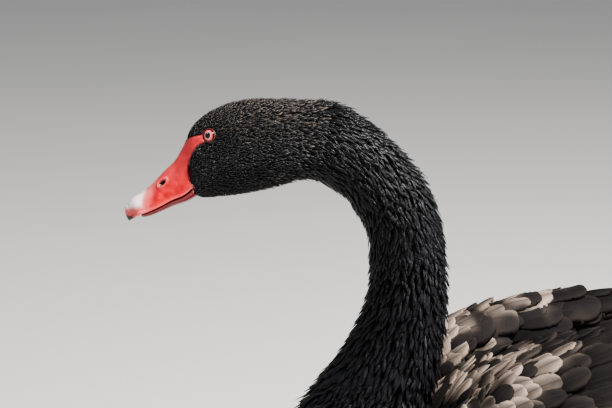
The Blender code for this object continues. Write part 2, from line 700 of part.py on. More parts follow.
def make_foot(word, side, ankle, down, skin):
    """The three long toes and the small hind toe, joined to the webs between them, and their claws."""
    knuckle = Vector((ankle.x - 6 * MM, ankle.y, 7 * MM))
    pieces = []
    tips = {}
    for name in ("inner", "middle", "outer"):
        towards = toe_direction(name, side)
        length = TOE_LENGTHS[name] * MM
        shares = (-0.04, 0.1, 0.3, 0.5, 0.68, 0.84, 1.0)
        radii = (6.6, 6.4, 5.0, 5.4, 4.6, 4.6, 3.4)
        path = []
        for share, radius in zip(shares, radii):
            spot = knuckle + towards * length * share
            path.append(Vector((spot.x, spot.y, SOLE_LEVEL * radius * MM)))
        tube = limb(path, [radius * MM for radius in radii], 8, floor=0.0)
        pieces.append(object_from("toe", tube, skin))
        tips[name] = (path[-1], towards)
        make_claw("claw_" + name + "_" + word, path[-1], towards, skin)
    behind = Vector((1, side * 0.35, 0)).normalized()
    hind = [knuckle + Vector((4 * MM, 0, 4 * MM)) + behind * reach * MM for reach in (0, 8, 16, 23)]
    for spot, height in zip(hind, (12, 11, 8.5, 6.5)):
        spot.z = height * MM
    tube = limb(hind, [radius * MM for radius in (5, 3.8, 3.2, 2.6)], 8)
    pieces.append(object_from("toe", tube, skin))
    make_claw("claw_hind_" + word, hind[-1], (hind[-1] - hind[-2]).normalized(), skin, 0.7)
    pieces.append(web(knuckle, tips, skin))
    heel = [ankle, ankle + down * 3 * MM, ankle + down * 9 * MM]
    heel_radii = [7.0 * MM, 7.2 * MM, 6.4 * MM]
    foot = object_from("foot_" + word, limb(heel, heel_radii, 12, 0.85, floor=0.0), skin)
    join_to(foot, pieces)
    return foot


def web(knuckle, tips, skin):
    """The webs as one thin plate, with a hollowed front edge between each two toes."""
    outline = [knuckle + Vector((3 * MM, 0, 0))]
    order = ("inner", "middle", "outer")
    corners = [tips[name][0] - tips[name][1] * 6 * MM for name in order]
    for start, end in zip(corners, corners[1:]):
        for k in range(6):
            share = k / 5
            spot = start.lerp(end, share)
            hollow = 0.11 * (spot - knuckle).length * math.sin(math.pi * share)
            outline.append(spot - (spot - knuckle).normalized() * hollow)
    flat = []
    for spot in outline:
        if not flat or (spot - flat[-1]).length > 0.5 * MM:
            flat.append(spot)
    mesh_data = bmesh.new()
    low = [mesh_data.verts.new((spot.x, spot.y, WEB_LIFT * MM)) for spot in flat]
    face = mesh_data.faces.new(low)
    raised = bmesh.ops.extrude_face_region(mesh_data, geom=[face])
    high = [item for item in raised["geom"] if isinstance(item, bmesh.types.BMVert)]
    bmesh.ops.translate(mesh_data, verts=high, vec=(0, 0, WEB_THICK * MM))
    bmesh.ops.triangulate(mesh_data, faces=mesh_data.faces)
    return object_from("web", mesh_data, skin)


def make_claw(name, root, towards, finish, scale=1.0):
    """A short curved claw that starts GAP past the end of its toe."""
    path, radii = [], []
    for share in (0.0, 0.4, 0.75, 1.0):
        reach = GAP + share * CLAW_LENGTH * scale * MM
        spot = root + towards * reach
        spot.z = root.z - share**2 * (root.z - 1.2 * MM)
        path.append(spot)
        radii.append((CLAW_RADIUS * scale * (1 - share) + CLAW_TIP_RADIUS) * MM)
    object_from(name, limb(path, radii, 6, floor=0.0), finish)


def stand_on_origin():
    """Moves the bird so that the middle of its box, at floor level, is the origin."""
    corners = [thing.matrix_world @ Vector(corner) for thing in bpy.data.objects for corner in thing.bound_box]
    low = [min(corner[axis] for corner in corners) for axis in range(3)]
    high = [max(corner[axis] for corner in corners) for axis in range(3)]
    shift = Vector((-(low[0] + high[0]) / 2, -(low[1] + high[1]) / 2, -low[2]))
    stance = bpy.data.objects.new("swan", None)
    bpy.context.scene.collection.objects.link(stance)
    for thing in list(bpy.data.objects):
        if thing is not stance:
            thing.parent = stance
    stance.location = shift
    print("moved by", [round(value, 5) for value in shift])


def build_swan():
    clear_scene()
    feathers = material("black_feather", FEATHER_BLACK, 0.55)
    bill_red = material("bill_red", BILL_RED, 0.35)
    leg_grey = material("leg_skin", LEG_GREY, 0.5)
    eye_red = material("eye_red", EYE_RED, 0.1)
    make_head(feathers, eye_red)
    make_bill(bill_red)
    body_length("neck_upper", HEAD_END, NECK_UPPER_END, 12, NECK_SIDES, feathers)
    body_length("neck_middle", NECK_UPPER_END, NECK_MIDDLE_END, 8, NECK_SIDES, feathers)
    body_length("neck_lower", NECK_MIDDLE_END, NECK_END, 10, NECK_SIDES, feathers)
    torso = body_length("torso", NECK_END, TORSO_END, 18, TORSO_SIDES, feathers)
    tail_room = make_tail(torso, feathers)
    make_wing("left", False, grown(torso, GAP), grown(tail_room, 0.0), feathers)
    make_wing("right", True, grown(torso, GAP), tail_room, feathers)
    make_leg("left", 1, torso, leg_grey, feathers)
    make_leg("right", -1, torso, leg_grey, feathers)
    stand_on_origin()


build_swan()
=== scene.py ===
# %% [markdown]
# # A black swan, from its feathers to its bill
# The frame gives the solid parts of the bird at life size. This lesson dresses them: one skin under
# everything, then thousands of feathers laid row by row, then the bill, the eyes and the feet.
# The frame is loaded first.

# %% Load the frame
import json
import math
from dataclasses import dataclass

import bmesh
import bpy
import numpy as np
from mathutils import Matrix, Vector

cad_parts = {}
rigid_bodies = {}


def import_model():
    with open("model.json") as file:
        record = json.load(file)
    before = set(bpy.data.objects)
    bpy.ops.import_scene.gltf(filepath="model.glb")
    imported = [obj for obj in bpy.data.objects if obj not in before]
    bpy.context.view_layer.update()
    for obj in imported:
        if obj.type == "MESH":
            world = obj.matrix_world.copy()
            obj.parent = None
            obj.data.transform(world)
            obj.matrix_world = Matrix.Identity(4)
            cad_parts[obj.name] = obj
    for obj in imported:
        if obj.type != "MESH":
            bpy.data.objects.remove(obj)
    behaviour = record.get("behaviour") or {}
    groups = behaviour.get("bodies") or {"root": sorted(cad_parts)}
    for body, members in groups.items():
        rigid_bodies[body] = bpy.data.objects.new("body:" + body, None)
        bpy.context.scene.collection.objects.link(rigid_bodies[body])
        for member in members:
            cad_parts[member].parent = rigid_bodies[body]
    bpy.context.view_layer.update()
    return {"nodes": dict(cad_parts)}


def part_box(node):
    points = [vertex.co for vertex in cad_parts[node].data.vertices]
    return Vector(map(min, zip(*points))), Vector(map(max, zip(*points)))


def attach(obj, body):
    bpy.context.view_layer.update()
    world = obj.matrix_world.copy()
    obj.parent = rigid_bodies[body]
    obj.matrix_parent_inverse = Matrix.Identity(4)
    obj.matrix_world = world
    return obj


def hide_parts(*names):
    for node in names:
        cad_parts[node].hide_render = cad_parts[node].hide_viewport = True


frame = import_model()

# %% [markdown]
# ## The bird's own measures
# A long animal is easy to describe by slices. Each slice has a point on the crown, nape or back, a point
# on the throat, breast or belly, a width, the height at which it is widest, and the turn of its plane.
# Along and height are millimetres in the bird's middle plane. The head looks 25 degrees to the bird's right.

# %% Slices of the body, from the bill to the rump
MM = 0.001
HEAD_TURN = 25.0
BODY = np.array([
    # top along, top height, low along, low height, width, level, turn
    (-160.0, 546.0, -152.0, 504.0, 27, 0.34, HEAD_TURN),
    (-155.0, 557.0, -146.0, 503.5, 33, 0.40, HEAD_TURN),
    (-145.0, 566.4, -136.0, 504.2, 38, 0.44, HEAD_TURN),
    (-130.0, 574.0, -122.0, 505.8, 43, 0.46, HEAD_TURN),
    (-112.0, 578.0, -107.0, 508.4, 46, 0.48, HEAD_TURN),
    (-93.0, 578.0, -91.0, 512.2, 48, 0.50, HEAD_TURN),
    (-76.0, 577.4, -78.0, 516.4, 47, 0.50, HEAD_TURN),
    (-58.0, 576.5, -68.0, 517.2, 46, 0.50, HEAD_TURN),
    (-38.7, 570.9, -60.0, 515.0, 46, 0.50, HEAD_TURN),
    (-10.3, 550.1, -43.0, 504.5, 46, 0.50, HEAD_TURN),
    (14.6, 522.1, -30.5, 487.4, 47, 0.50, HEAD_TURN),
    (29.0, 492.0, -24.2, 471.5, 48, 0.50, HEAD_TURN),
    (35.5, 456.0, -23.0, 446.0, 49, 0.50, HEAD_TURN),
    (37.5, 428.0, -25.0, 426.0, 52, 0.50, HEAD_TURN),
    (36.5, 402.0, -33.5, 403.5, 57, 0.50, HEAD_TURN),
    (33.5, 376.0, -47.0, 378.5, 66, 0.50, HEAD_TURN),
    (27.5, 346.0, -71.3, 343.7, 82, 0.50, HEAD_TURN),
    (24.0, 330.0, -96.0, 308.0, 108, 0.50, 19),
    (25.0, 320.0, -121.0, 264.0, 142, 0.50, 11),
    (36.0, 322.0, -131.0, 214.0, 170, 0.50, 4),
    (62.0, 343.0, -112.0, 170.0, 190, 0.52, 0),
    (101.0, 361.0, -62.0, 147.0, 202, 0.53, 0),
    (150.0, 369.0, 10.0, 138.0, 207, 0.54, 0),
    (205.0, 367.0, 92.0, 140.0, 203, 0.54, 0),
    (258.0, 353.0, 170.0, 153.0, 187, 0.54, 0),
    (310.0, 326.0, 240.0, 178.0, 158, 0.54, 0),
    (357.0, 296.0, 304.0, 208.0, 118, 0.54, 0),
    (394.0, 273.0, 354.0, 236.0, 74, 0.54, 0),
])
BODY_END = len(BODY) - 1.0
print("slices", len(BODY))

# %% Slices of the bill
UPPER_BILL = np.array([
    (-160.3, 545.7, -154.3, 514.2, 27.0, 0, HEAD_TURN),
    (-167.8, 532.0, -161.0, 508.4, 28.0, 0, HEAD_TURN),
    (-176.6, 523.0, -170.2, 504.2, 27.0, 0, HEAD_TURN),
    (-185.3, 513.7, -179.2, 499.2, 26.0, 0, HEAD_TURN),
    (-193.2, 507.2, -187.8, 495.2, 26.0, 0, HEAD_TURN),
    (-200.2, 503.0, -195.0, 492.4, 24.5, 0, HEAD_TURN),
    (-205.0, 497.0, -200.4, 488.6, 17.0, 0, HEAD_TURN),
    (-206.3, 491.0, -203.6, 486.2, 8.0, 0, HEAD_TURN),
])
LOWER_BILL = np.array([
    (-154.4, 513.2, -152.1, 504.3, 24.0, 0.85, HEAD_TURN),
    (-160.8, 507.5, -159.2, 500.6, 24.0, 0.85, HEAD_TURN),
    (-170.2, 503.3, -168.9, 497.4, 22.5, 0.85, HEAD_TURN),
    (-179.2, 498.3, -178.2, 493.1, 21.0, 0.85, HEAD_TURN),
    (-187.6, 494.3, -187.0, 489.5, 19.5, 0.85, HEAD_TURN),
    (-194.4, 491.5, -194.2, 487.7, 13.0, 0.85, HEAD_TURN),
])
print("bill slices", len(UPPER_BILL), len(LOWER_BILL))

# %% [markdown]
# ## From slices to a smooth surface
# A smooth curve through the slices gives a slice at any place between two of them, and an angle round it
# gives a point of the surface: 0 is the back's middle, and the angle grows towards the bird's left.
# Everything works on whole arrays, so that thousands of feathers are placed in one step.

# %% A smooth curve through the slices
def smooth_rows(table, place):
    """The table's rows at fractional places, on the smooth curve through them."""
    place = np.asarray(place, float)
    last = len(table) - 1
    first = np.clip(place.astype(int), 0, last - 1)
    part = (place - first)[..., None]
    a, b, c, d = (table[np.clip(first + k, 0, last)] for k in (-1, 0, 1, 2))
    return 0.5 * (2 * b + (c - a) * part + (2 * a - 5 * b + 4 * c - d) * part**2
                  + (3 * b - a - 3 * c + d) * part**3)


def in_plane(along, height, turn, aside=0.0):
    """Points from their place in a turned middle plane and their distance to the left, in millimetres."""
    angle = np.radians(turn)
    x = along * np.cos(angle) - aside * np.sin(angle)
    y = -along * np.sin(angle) - aside * np.cos(angle)
    return np.stack(np.broadcast_arrays(x, y, height), axis=-1) * MM


def crossed(rows, columns):
    """Every pairing of two lists of places, as two flat arrays."""
    return tuple(grid.ravel() for grid in np.meshgrid(rows, columns, indexing="ij"))


def round_angles(count):
    """Even angles, once round."""
    return np.linspace(0, 2 * math.pi, count, endpoint=False)


NECK_MIDDLE = smooth_rows(BODY, 12.0)
print("the neck's middle slice", NECK_MIDDLE.round(1))

# %% Points round a slice
def slice_points(rows, angle):
    """Points at angles round slices of the body."""
    top_along, top_height, low_along, low_height, width, level, turn = np.moveaxis(rows, -1, 0)
    rise = np.cos(angle)
    share = level + np.where(rise > 0, (1 - level) * rise, level * rise)
    along = low_along + (top_along - low_along) * share
    height = low_height + (top_height - low_height) * share
    return in_plane(along, height, turn, width / 2 * np.sin(angle))


def arch_points(rows, angle):
    """Points at angles round slices of the upper bill: a narrowed arch that is flat below."""
    top_along, top_height, low_along, low_height, width, _, turn = np.moveaxis(rows, -1, 0)
    rise = np.maximum(np.cos(angle), 0.0)
    swing = np.sin(angle)
    arch = np.sign(swing) * np.abs(swing) ** 0.8 * (1 - 0.25 * rise)
    side = np.where(np.cos(angle) < 0, swing, arch)
    along = low_along + (top_along - low_along) * rise**0.9
    height = low_height + (top_height - low_height) * rise**0.9
    return in_plane(along, height, turn, width / 2 * side)


print("round the neck", slice_points(NECK_MIDDLE[None], round_angles(4)).round(3).tolist())

# %% [markdown]
# The tables count from the head's own zero, and the frame stands in the middle of its box. The bill is in
# both, so the difference between the two bills is how far the bird was moved to stand there.

# %% Stand the tables where the frame stands
own_bill = arch_points(smooth_rows(UPPER_BILL, np.linspace(0, 7, 15))[:, None], round_angles(20)[None])
STANCE = np.zeros(3)
STANCE[0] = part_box("bill_upper")[0][0] - own_bill.reshape(-1, 3)[:, 0].min()


def body_surface(place, angle):
    """The body's surface, which runs straight on past its last slice."""
    inside = np.minimum(place, BODY_END)
    point = slice_points(smooth_rows(BODY, inside), angle)
    step = point - slice_points(smooth_rows(BODY, inside - 0.2), angle)
    return point + step * ((place - inside) / 0.2)[..., None] + STANCE


print("the frame stands at", STANCE.round(5))

# %% [markdown]
# ## Meshes from arrays
# Blender takes long lists of corners in one call, which is far quicker than adding faces one by one. The
# helper keeps a UV map and any number of values for each point, which the finishes read later.

# %% Turn arrays into a mesh
def mesh_piece(name, points, polygons, uv=None, values=None):
    """A smooth object from points, lists of corners by polygon size, corner UVs and point values."""
    mesh = bpy.data.meshes.new(name)
    sizes = np.concatenate([np.full(len(block), block.shape[1]) for block in polygons])
    corners = np.concatenate([block.ravel() for block in polygons]).astype(np.int32)
    mesh.vertices.add(len(points))
    mesh.vertices.foreach_set("co", np.asarray(points, np.float32).ravel())
    mesh.loops.add(len(corners))
    mesh.loops.foreach_set("vertex_index", corners)
    mesh.polygons.add(len(sizes))
    starts = np.concatenate([[0], np.cumsum(sizes)[:-1]]).astype(np.int32)
    mesh.polygons.foreach_set("loop_start", starts)
    mesh.update(calc_edges=True)
    for key, numbers in (values or {}).items():
        layer = mesh.attributes.new(key, "FLOAT", "POINT")
        layer.data.foreach_set("value", np.asarray(numbers, np.float32).ravel())
    if uv is not None:
        layer = mesh.uv_layers.new(name="OFBake")
        layer.uv.foreach_set("vector", np.asarray(uv, np.float32)[corners].ravel())
    mesh.validate()
    mesh.shade_smooth()
    piece = bpy.data.objects.new(name, mesh)
    bpy.context.scene.collection.objects.link(piece)
    return piece


print("meshes can be made from arrays")

# %% Lofts, and what every piece is told
def loft_polygons(rings, sides):
    """The quads between rings, and a cap at each end."""
    ring, side = np.meshgrid(np.arange(rings - 1), np.arange(sides), indexing="ij")
    here, after = ring * sides + side, ring * sides + (side + 1) % sides
    quads = np.stack([here, after, after + sides, here + sides], axis=-1).reshape(-1, 4)
    caps = np.array([np.arange(sides)[::-1], (rings - 1) * sides + np.arange(sides)])
    return [quads, caps]


def outward(piece):
    """Turns a closed piece's faces to look out."""
    shape = bmesh.new()
    shape.from_mesh(piece.data)
    bmesh.ops.recalc_face_normals(shape, faces=shape.faces)
    shape.to_mesh(piece.data)
    shape.free()
    return piece


def triangles(piece):
    return sum(len(face.vertices) - 2 for face in piece.data.polygons)


def dress(piece, slot, *solids):
    """Puts a piece on the one body, and hides the solids that it replaces. Its slot is not used."""
    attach(piece, "root")
    if solids:
        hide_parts(*solids)
    print(piece.name, triangles(piece), "triangles")
    return piece


SIDES = {"left": 1, "right": -1}
print("a box's faces", len(loft_polygons(2, 4)[0]) + 2)

# %% [markdown]
# ## Reckoning with shader sockets
# A finish could be wired up by hand, node by node, but then nobody can read it. Shader maths reads best as
# plain expressions. `Value` wraps a socket, and Python's operators on it add Math nodes. `Material` makes
# every other node through one method.

# %% A value
def both_ways(operation):
    """A Python operator that adds a Math node, and its reflected form, so that 1 - mask works too."""

    def plain(self, other):
        return self.reckon(operation, self, other)

    def reflected(self, other):
        return self.reckon(operation, other, self)

    return plain, reflected


class Value:
    """A shader socket that Python's operators can reckon with."""

    def __init__(self, finish, socket):
        self.finish = finish
        self.socket = socket

    def reckon(self, operation, first, second=0.0):
        return self.finish.node("ShaderNodeMath", {"operation": operation}, {0: first, 1: second})

    __add__, __radd__ = both_ways("ADD")
    __sub__, __rsub__ = both_ways("SUBTRACT")
    __mul__, __rmul__ = both_ways("MULTIPLY")
    __truediv__, __rtruediv__ = both_ways("DIVIDE")
    __pow__, __rpow__ = both_ways("POWER")


print("sockets can be reckoned with")

# %% A material
class Material:
    """A material with one Principled shader, whose constant values are set on its own sockets."""

    def __init__(self, name, **constants):
        self.material = bpy.data.materials.new(name)
        self.material.use_nodes = True
        self.tree = self.material.node_tree
        self.shader = self.tree.nodes["Principled BSDF"]
        for key, value in constants.items():
            self.shader.inputs[key.replace("_", " ")].default_value = value

    def feed(self, socket, value):
        if isinstance(value, Value):
            self.tree.links.new(value.socket, socket)
        else:
            socket.default_value = value

    def node(self, kind, settings=None, sockets=None, out=0):
        """Any node: its settings first, then the values or links of its sockets."""
        made = self.tree.nodes.new(kind)
        for key, value in (settings or {}).items():
            if key == "stops":
                self.set_stops(made.color_ramp, value)
            else:
                setattr(made, key, value)
        for key, value in (sockets or {}).items():
            self.feed(made.inputs[key], value)
        return Value(self, made.outputs[out])

    def set_stops(self, ramp, stops):
        while len(ramp.elements) < len(stops):
            ramp.elements.new(0.5)
        for element, (position, colour) in zip(ramp.elements, stops):
            element.position = position
            element.color = (*colour, 1)

    def onto(self, **fed):
        """Feeds the shader and hands over the material."""
        for key, value in fed.items():
            self.feed(self.shader.inputs[key.replace("_", " ")], value)
        return self.material


print("materials can be made")

# %% [markdown]
# The bird's finishes need the same few nodes again and again: a value that the mesh keeps, a place, noise, a
# smooth step, a mix of two colours and a bump. Each gets a short name here. Places are the bird's own, so
# that a pattern stays on it from every side.

# %% A finish
class Finish(Material):
    """A material with short names for the nodes that the bird's finishes are made from."""

    def reading(self, name):
        """A value that the mesh holds for each point."""
        return self.node("ShaderNodeAttribute", {"attribute_name": name}, out=2)

    def place(self):
        """The surface's own place, in metres."""
        return self.node("ShaderNodeTexCoord", out=3)

    def axis(self, number):
        """The surface's place along x, y or z, for 0, 1 or 2."""
        return self.node("ShaderNodeSeparateXYZ", None, {"Vector": self.place()}, out=number)

    def noise(self, scale, detail=2.0):
        """Soft noise from 0 to 1, so many to the metre."""
        sockets = {"Vector": self.place(), "Scale": scale, "Detail": detail}
        return self.node("ShaderNodeTexNoise", None, sockets)

    def step(self, value, low, high):
        """0 below low, 1 above high, and smooth between."""
        sockets = {"Value": value, "From Min": low, "From Max": high}
        return self.node("ShaderNodeMapRange", {"interpolation_type": "SMOOTHSTEP"}, sockets)

    def mix(self, factor, first, second, blend="MIX"):
        """A colour between two, each a Value or three numbers."""
        first, second = (c if isinstance(c, Value) else (*c, 1) for c in (first, second))
        settings = {"data_type": "RGBA", "blend_type": blend}
        return self.node("ShaderNodeMix", settings, {0: factor, 6: first, 7: second}, out=2)

    def bump(self, height, distance, strength):
        """A normal for the shader from a height."""
        sockets = {"Height": height, "Distance": distance, "Strength": strength}
        return self.node("ShaderNodeBump", None, sockets)


print("finishes can be made")

# %% [markdown]
# ## Which skin is bare
# A black swan's bare red skin runs from the bill over the cheek's front edge and up to the eye. Its outline
# is drawn in the head's middle plane. The distance to that outline, positive inside it, later tells the bare
# skin where to dive under the feathers, and the feathers where to stop, so that both keep to one border.

# %% The bare skin's outline and the eye's place
EYE = np.array([-142.1, 553.6])
BARE_SKIN = np.array([
    (-172.0, 541.0), (-161.5, 545.2), (-160.2, 546.3), (-156.6, 550.1), (-153.1, 551.8), (-148.5, 553.2),
    (-145.8, 554.4), (-143.8, 551.5), (-145.4, 548.6), (-148.4, 547.2), (-150.9, 545.2), (-153.1, 542.4),
    (-156.0, 536.6), (-157.8, 530.8), (-158.4, 525.0), (-157.8, 519.6), (-155.4, 516.6), (-154.0, 514.6),
    (-152.8, 511.5), (-154.0, 506.0), (-172.0, 500.0),
])


def inside_outline(spots, outline):
    """The distance in millimetres from points to an outline, positive inside it."""
    nearest = np.full(len(spots), np.inf)
    crossings = np.zeros(len(spots), int)
    for start, end in zip(outline, np.roll(outline, -1, axis=0)):
        edge = end - start
        share = np.clip(((spots - start) @ edge) / (edge @ edge), 0, 1)
        nearest = np.minimum(nearest, np.linalg.norm(spots - start - share[:, None] * edge, axis=1))
        spans = (start[1] > spots[:, 1]) != (end[1] > spots[:, 1])
        reach = start[0] + edge[0] * (spots[:, 1] - start[1]) / (edge[1] if edge[1] else 1.0)
        crossings += spans & (spots[:, 0] < reach)
    return np.where(crossings % 2 == 1, nearest, -nearest)


def head_spots(points):
    """Places along and up the head's middle plane, in millimetres, and the distance to its left."""
    angle = math.radians(HEAD_TURN)
    loose = (points - STANCE) / MM
    along = loose[:, 0] * math.cos(angle) - loose[:, 1] * math.sin(angle)
    aside = -loose[:, 0] * math.sin(angle) - loose[:, 1] * math.cos(angle)
    return np.stack([along, loose[:, 2]], axis=1), aside


print("bare skin outline", len(BARE_SKIN), "points")

# %% [markdown]
# ## One skin
# Under its feathers a swan is one smooth form. It could be sculpted, but a loft through the table's slices
# keeps it to the solids' measures. The skin lies as deep as the coat is thick: about a millimetre on the
# head, where the feathers are short, and more on the neck and breast. The head, the neck and the torso are
# one loft, and the wings, thighs and tail are joined to it.

# %% How deep the skin lies
def coat_depth(place):
    """The coat's thickness in metres along the body."""
    return np.interp(place, [0, 3, 7, 12, 16, 19, 24, 27], [0.8, 1.2, 2.0, 3.0, 4.0, 6.0, 7.0, 5.0]) * MM


def surface_frame(surface, u, v, step=0.01):
    """Points of a surface with their steps along u and v, and the direction out of it."""
    point = surface(u, v)
    back = (surface(u + step, v) - surface(u - step, v)) / (2 * step)
    side = (surface(u, v + step) - surface(u, v - step)) / (2 * step)
    out = np.cross(side, back)
    return point, back, side, out / np.linalg.norm(out, axis=-1, keepdims=True)


def flesh_loft(name, surface, u_values, v_values, depth):
    """A closed loft of a surface that runs once round, drawn in by the coat's depth at each u."""
    u, v = crossed(u_values, v_values)
    point, _, _, out = surface_frame(surface, u, v)
    inner = point - out * depth(u)[:, None]
    return outward(mesh_piece(name, inner, loft_polygons(len(u_values), len(v_values))))


# The rings lie close on the head, where the forms are small.
SKIN_PLACES = np.concatenate([np.arange(0, 3, 0.04), np.arange(3, 7, 0.1), np.arange(7, 27, 0.14), [27.0]])
skin = flesh_loft("skin", body_surface, SKIN_PLACES, round_angles(144), coat_depth)
print("skin loft", triangles(skin), "triangles")

# %% [markdown]
# A folded wing is a long shield that lies on the flank, thickest near its front. It is drawn on the torso's
# own surface: how far along it, and how far across from its upper to its lower edge. So it keeps to the body
# wherever the body bends, and the same drawing later lays the flight feathers.

# %% The folded wing's surface
WING_START, WING_END, WING_REACH = 18.6, 27.0, 1.36
WING_THICK = 35.0
WING_SHAPE = np.array([
    # fraction of length, upper edge, lower edge, share of the full thickness
    (0.00, 58, 84, 0.10), (0.06, 38, 98, 0.62), (0.14, 24, 106, 0.92), (0.24, 18, 109, 1.00),
    (0.45, 16, 108, 1.00), (0.70, 13, 103, 0.94), (1.00, 10, 96, 0.68), (1.20, 10, 88, 0.45),
    (WING_REACH, 22, 74, 0.20),
])
WING_ARCH = ((0.0, 0.05, 0.12, 0.2, 0.35, 0.6, 0.85, 1.0), (0.0, 0.62, 0.93, 1.0, 0.86, 0.6, 0.4, 0.0))
FLAT_BACK = (1, 0.35, 0.45)


def left_wing(length, across, lift=0.0):
    """Points of the left wing's outer surface from its fractions of length and width, raised by a lift."""
    length, across = np.broadcast_arrays(np.asarray(length, float), across)
    upper, lower, thick = (np.interp(length, WING_SHAPE[:, 0], WING_SHAPE[:, k]) for k in (1, 2, 3))
    place = WING_START + (WING_END - WING_START) * np.clip(length, 0, 1)
    angle = np.radians(upper + (lower - upper) * across)
    out = surface_frame(body_surface, np.minimum(place, BODY_END - 0.02), angle)[3]
    arch = np.interp(across, *WING_ARCH)
    point = body_surface(place, angle) + out * ((WING_THICK * thick * arch) * MM + lift)[..., None]
    end = np.full_like(angle, WING_END)
    backward = (body_surface(end, angle) - body_surface(end - 1, angle)) * FLAT_BACK
    beyond = np.maximum(length - 1.0, 0.0) * (WING_END - WING_START)
    return point + backward * beyond[..., None]


def right_wing(length, across, lift=0.0):
    return left_wing(length, across, lift) * (1, -1, 1)


print("wing middle at", left_wing(0.5, 0.5).round(3))

# %% [markdown]
# The tail is a flat fan that droops a little. It is measured by how far a place lies behind its root, and by
# its share across. A thigh is a short cone from inside the belly to the hock, drawn by its share of the way
# and the angle round it.

# %% The tail's surface
TAIL_DROOP, TAIL_SPREAD = math.radians(9.0), math.radians(22.0)
TAIL_ROOT, TAIL_ROOT_HALF, TAIL_ARCH = (366.0, 253.0), 22, 6


def tail_surface(reach, across):
    """Points of the tail's fan, from millimetres behind its root and its share across."""
    half = TAIL_ROOT_HALF + reach * math.tan(TAIL_SPREAD)
    along = TAIL_ROOT[0] + reach * math.cos(TAIL_DROOP)
    height = TAIL_ROOT[1] - reach * math.sin(TAIL_DROOP) - TAIL_ARCH * across**2 * math.cos(TAIL_DROOP)
    return np.stack(np.broadcast_arrays(along, -across * half, height), axis=-1) * MM + STANCE


print("tail root at", tail_surface(0.0, 0.0).round(3))

# %% The thigh's surface
LEG_ASIDE = 52.0
KNEE, HOCK = np.array([126.0, 196.0]), np.array([172.0, 122.0])
THIGH_STEPS, THIGH_RADII = (0.0, 0.3, 0.55, 0.78, 0.93, 1.0), (44, 42, 34, 22, 13.5, 9)
THIGH_FLAT, THIGH_COAT = 0.85, 3.0


def thigh_surface(side):
    """The surface of the thigh on one side: 1 for left, -1 for right."""
    down = (HOCK - KNEE) / np.linalg.norm(HOCK - KNEE)

    def surface(share, angle):
        share, angle = np.broadcast_arrays(np.asarray(share, float), angle)
        radius = np.interp(share, THIGH_STEPS, THIGH_RADII)
        middle = KNEE + (HOCK - KNEE) * share[..., None]
        forth = radius * np.cos(angle)
        along = middle[..., 0] + forth * down[1]
        height = middle[..., 1] - forth * down[0]
        aside = -side * LEG_ASIDE + THIGH_FLAT * radius * np.sin(angle)
        return np.stack([along, aside, height], axis=-1) * MM + STANCE

    return surface


print("thighs from", KNEE, "to", HOCK)

# %% [markdown]
# A bird's wings, thighs and tail grow out of its body without a seam. They could be pushed into it as they
# are, but then an edge would show wherever the coat is thin. A Boolean union joins their flesh to the skin
# instead, and leaves one closed mesh. The wings' outer faces are drawn in, to leave room for their feathers.

# %% The flesh of a wing and of the tail
WING_COAT, WING_SUNK, WING_SMOOTH = 3.5, 14.0, 0.03
TAIL_FLESH_LENGTH, TAIL_FLESH_HALVES = 62, (18, 2)


def raised(surface, side=1, step=0.01):
    """A shell over a surface: its points raised by a lift along its own normals, smoothed over a step."""

    def shell(u, v, lift):
        point, _, _, out = surface_frame(surface, u, v, step)
        return point + out * side * lift[..., None]

    return shell


def wing_flesh(name, surface, side):
    """The wing's flesh: its outer face, and an inner face that lies in the body."""
    lengths, across = np.linspace(0.0, 1.06, 40), np.linspace(0.02, 0.98, 24)
    length, wide = np.meshgrid(lengths, across, indexing="ij")
    thick = WING_THICK * np.interp(length, WING_SHAPE[:, 0], WING_SHAPE[:, 3]) * np.interp(wide, *WING_ARCH)
    outer = raised(surface, side, WING_SMOOTH)(length, wide, np.full(length.shape, -WING_COAT * MM))
    inner = surface(length, wide, -(thick + WING_SUNK) * np.interp(length, [1.0, 1.06], [1.0, 0.5]) * MM)
    rings = np.concatenate([outer, inner[:, ::-1]], axis=1)
    return outward(mesh_piece(name, rings.reshape(-1, 3), loft_polygons(len(lengths), rings.shape[1])))


def tail_flesh(rings=16, sides=32):
    """The fleshy root of the tail."""
    reach, turn = crossed(np.linspace(0, TAIL_FLESH_LENGTH, rings), round_angles(sides))
    points = tail_surface(reach, 0.9 * np.sin(turn))
    points[:, 2] += np.cos(turn) * np.interp(reach, [0, TAIL_FLESH_LENGTH], TAIL_FLESH_HALVES) * MM
    return outward(mesh_piece("tail_flesh", points, loft_polygons(rings, sides)))


flesh = [wing_flesh("wing_flesh_left", left_wing, 1),
         wing_flesh("wing_flesh_right", right_wing, -1), tail_flesh()]
for side in SIDES.values():
    flesh.append(flesh_loft("thigh_flesh", thigh_surface(side), np.linspace(0.02, 0.97, 16), round_angles(40),
                            lambda share: np.full(share.shape, THIGH_COAT * MM)))
print("flesh", [triangles(piece) for piece in flesh])

# %% Join it to the skin
def united(target, pieces):
    """The target with closed pieces joined to it."""
    for piece in pieces:
        union = target.modifiers.new("join", "BOOLEAN")
        union.operation = "UNION"
        union.solver = "MANIFOLD"
        union.object = piece
    graph = bpy.context.evaluated_depsgraph_get()
    joined = bpy.data.meshes.new_from_object(target.evaluated_get(graph))
    target.modifiers.clear()
    target.data = joined
    for piece in pieces:
        bpy.data.objects.remove(piece, do_unlink=True)
    return target


skin = united(skin, flesh)
skin.data.shade_smooth()
dress(skin, "black_feathers", "head", "neck_upper", "neck_middle", "neck_lower", "torso", "thigh_left",
      "thigh_right")

# %% [markdown]
# ## One feather, many times
# Blender's hair could stand for the finest tufts, but an exported model keeps only meshes, and a vane is
# broad. So a feather is a thin closed plate: rings across it from the root to the tip, each with a row of
# points on its upper face and one less at each edge below. Its rings are laid on the surface that carries
# it, so it bends with the neck and the flank. Real feathers differ in width, so a kind is only a form.

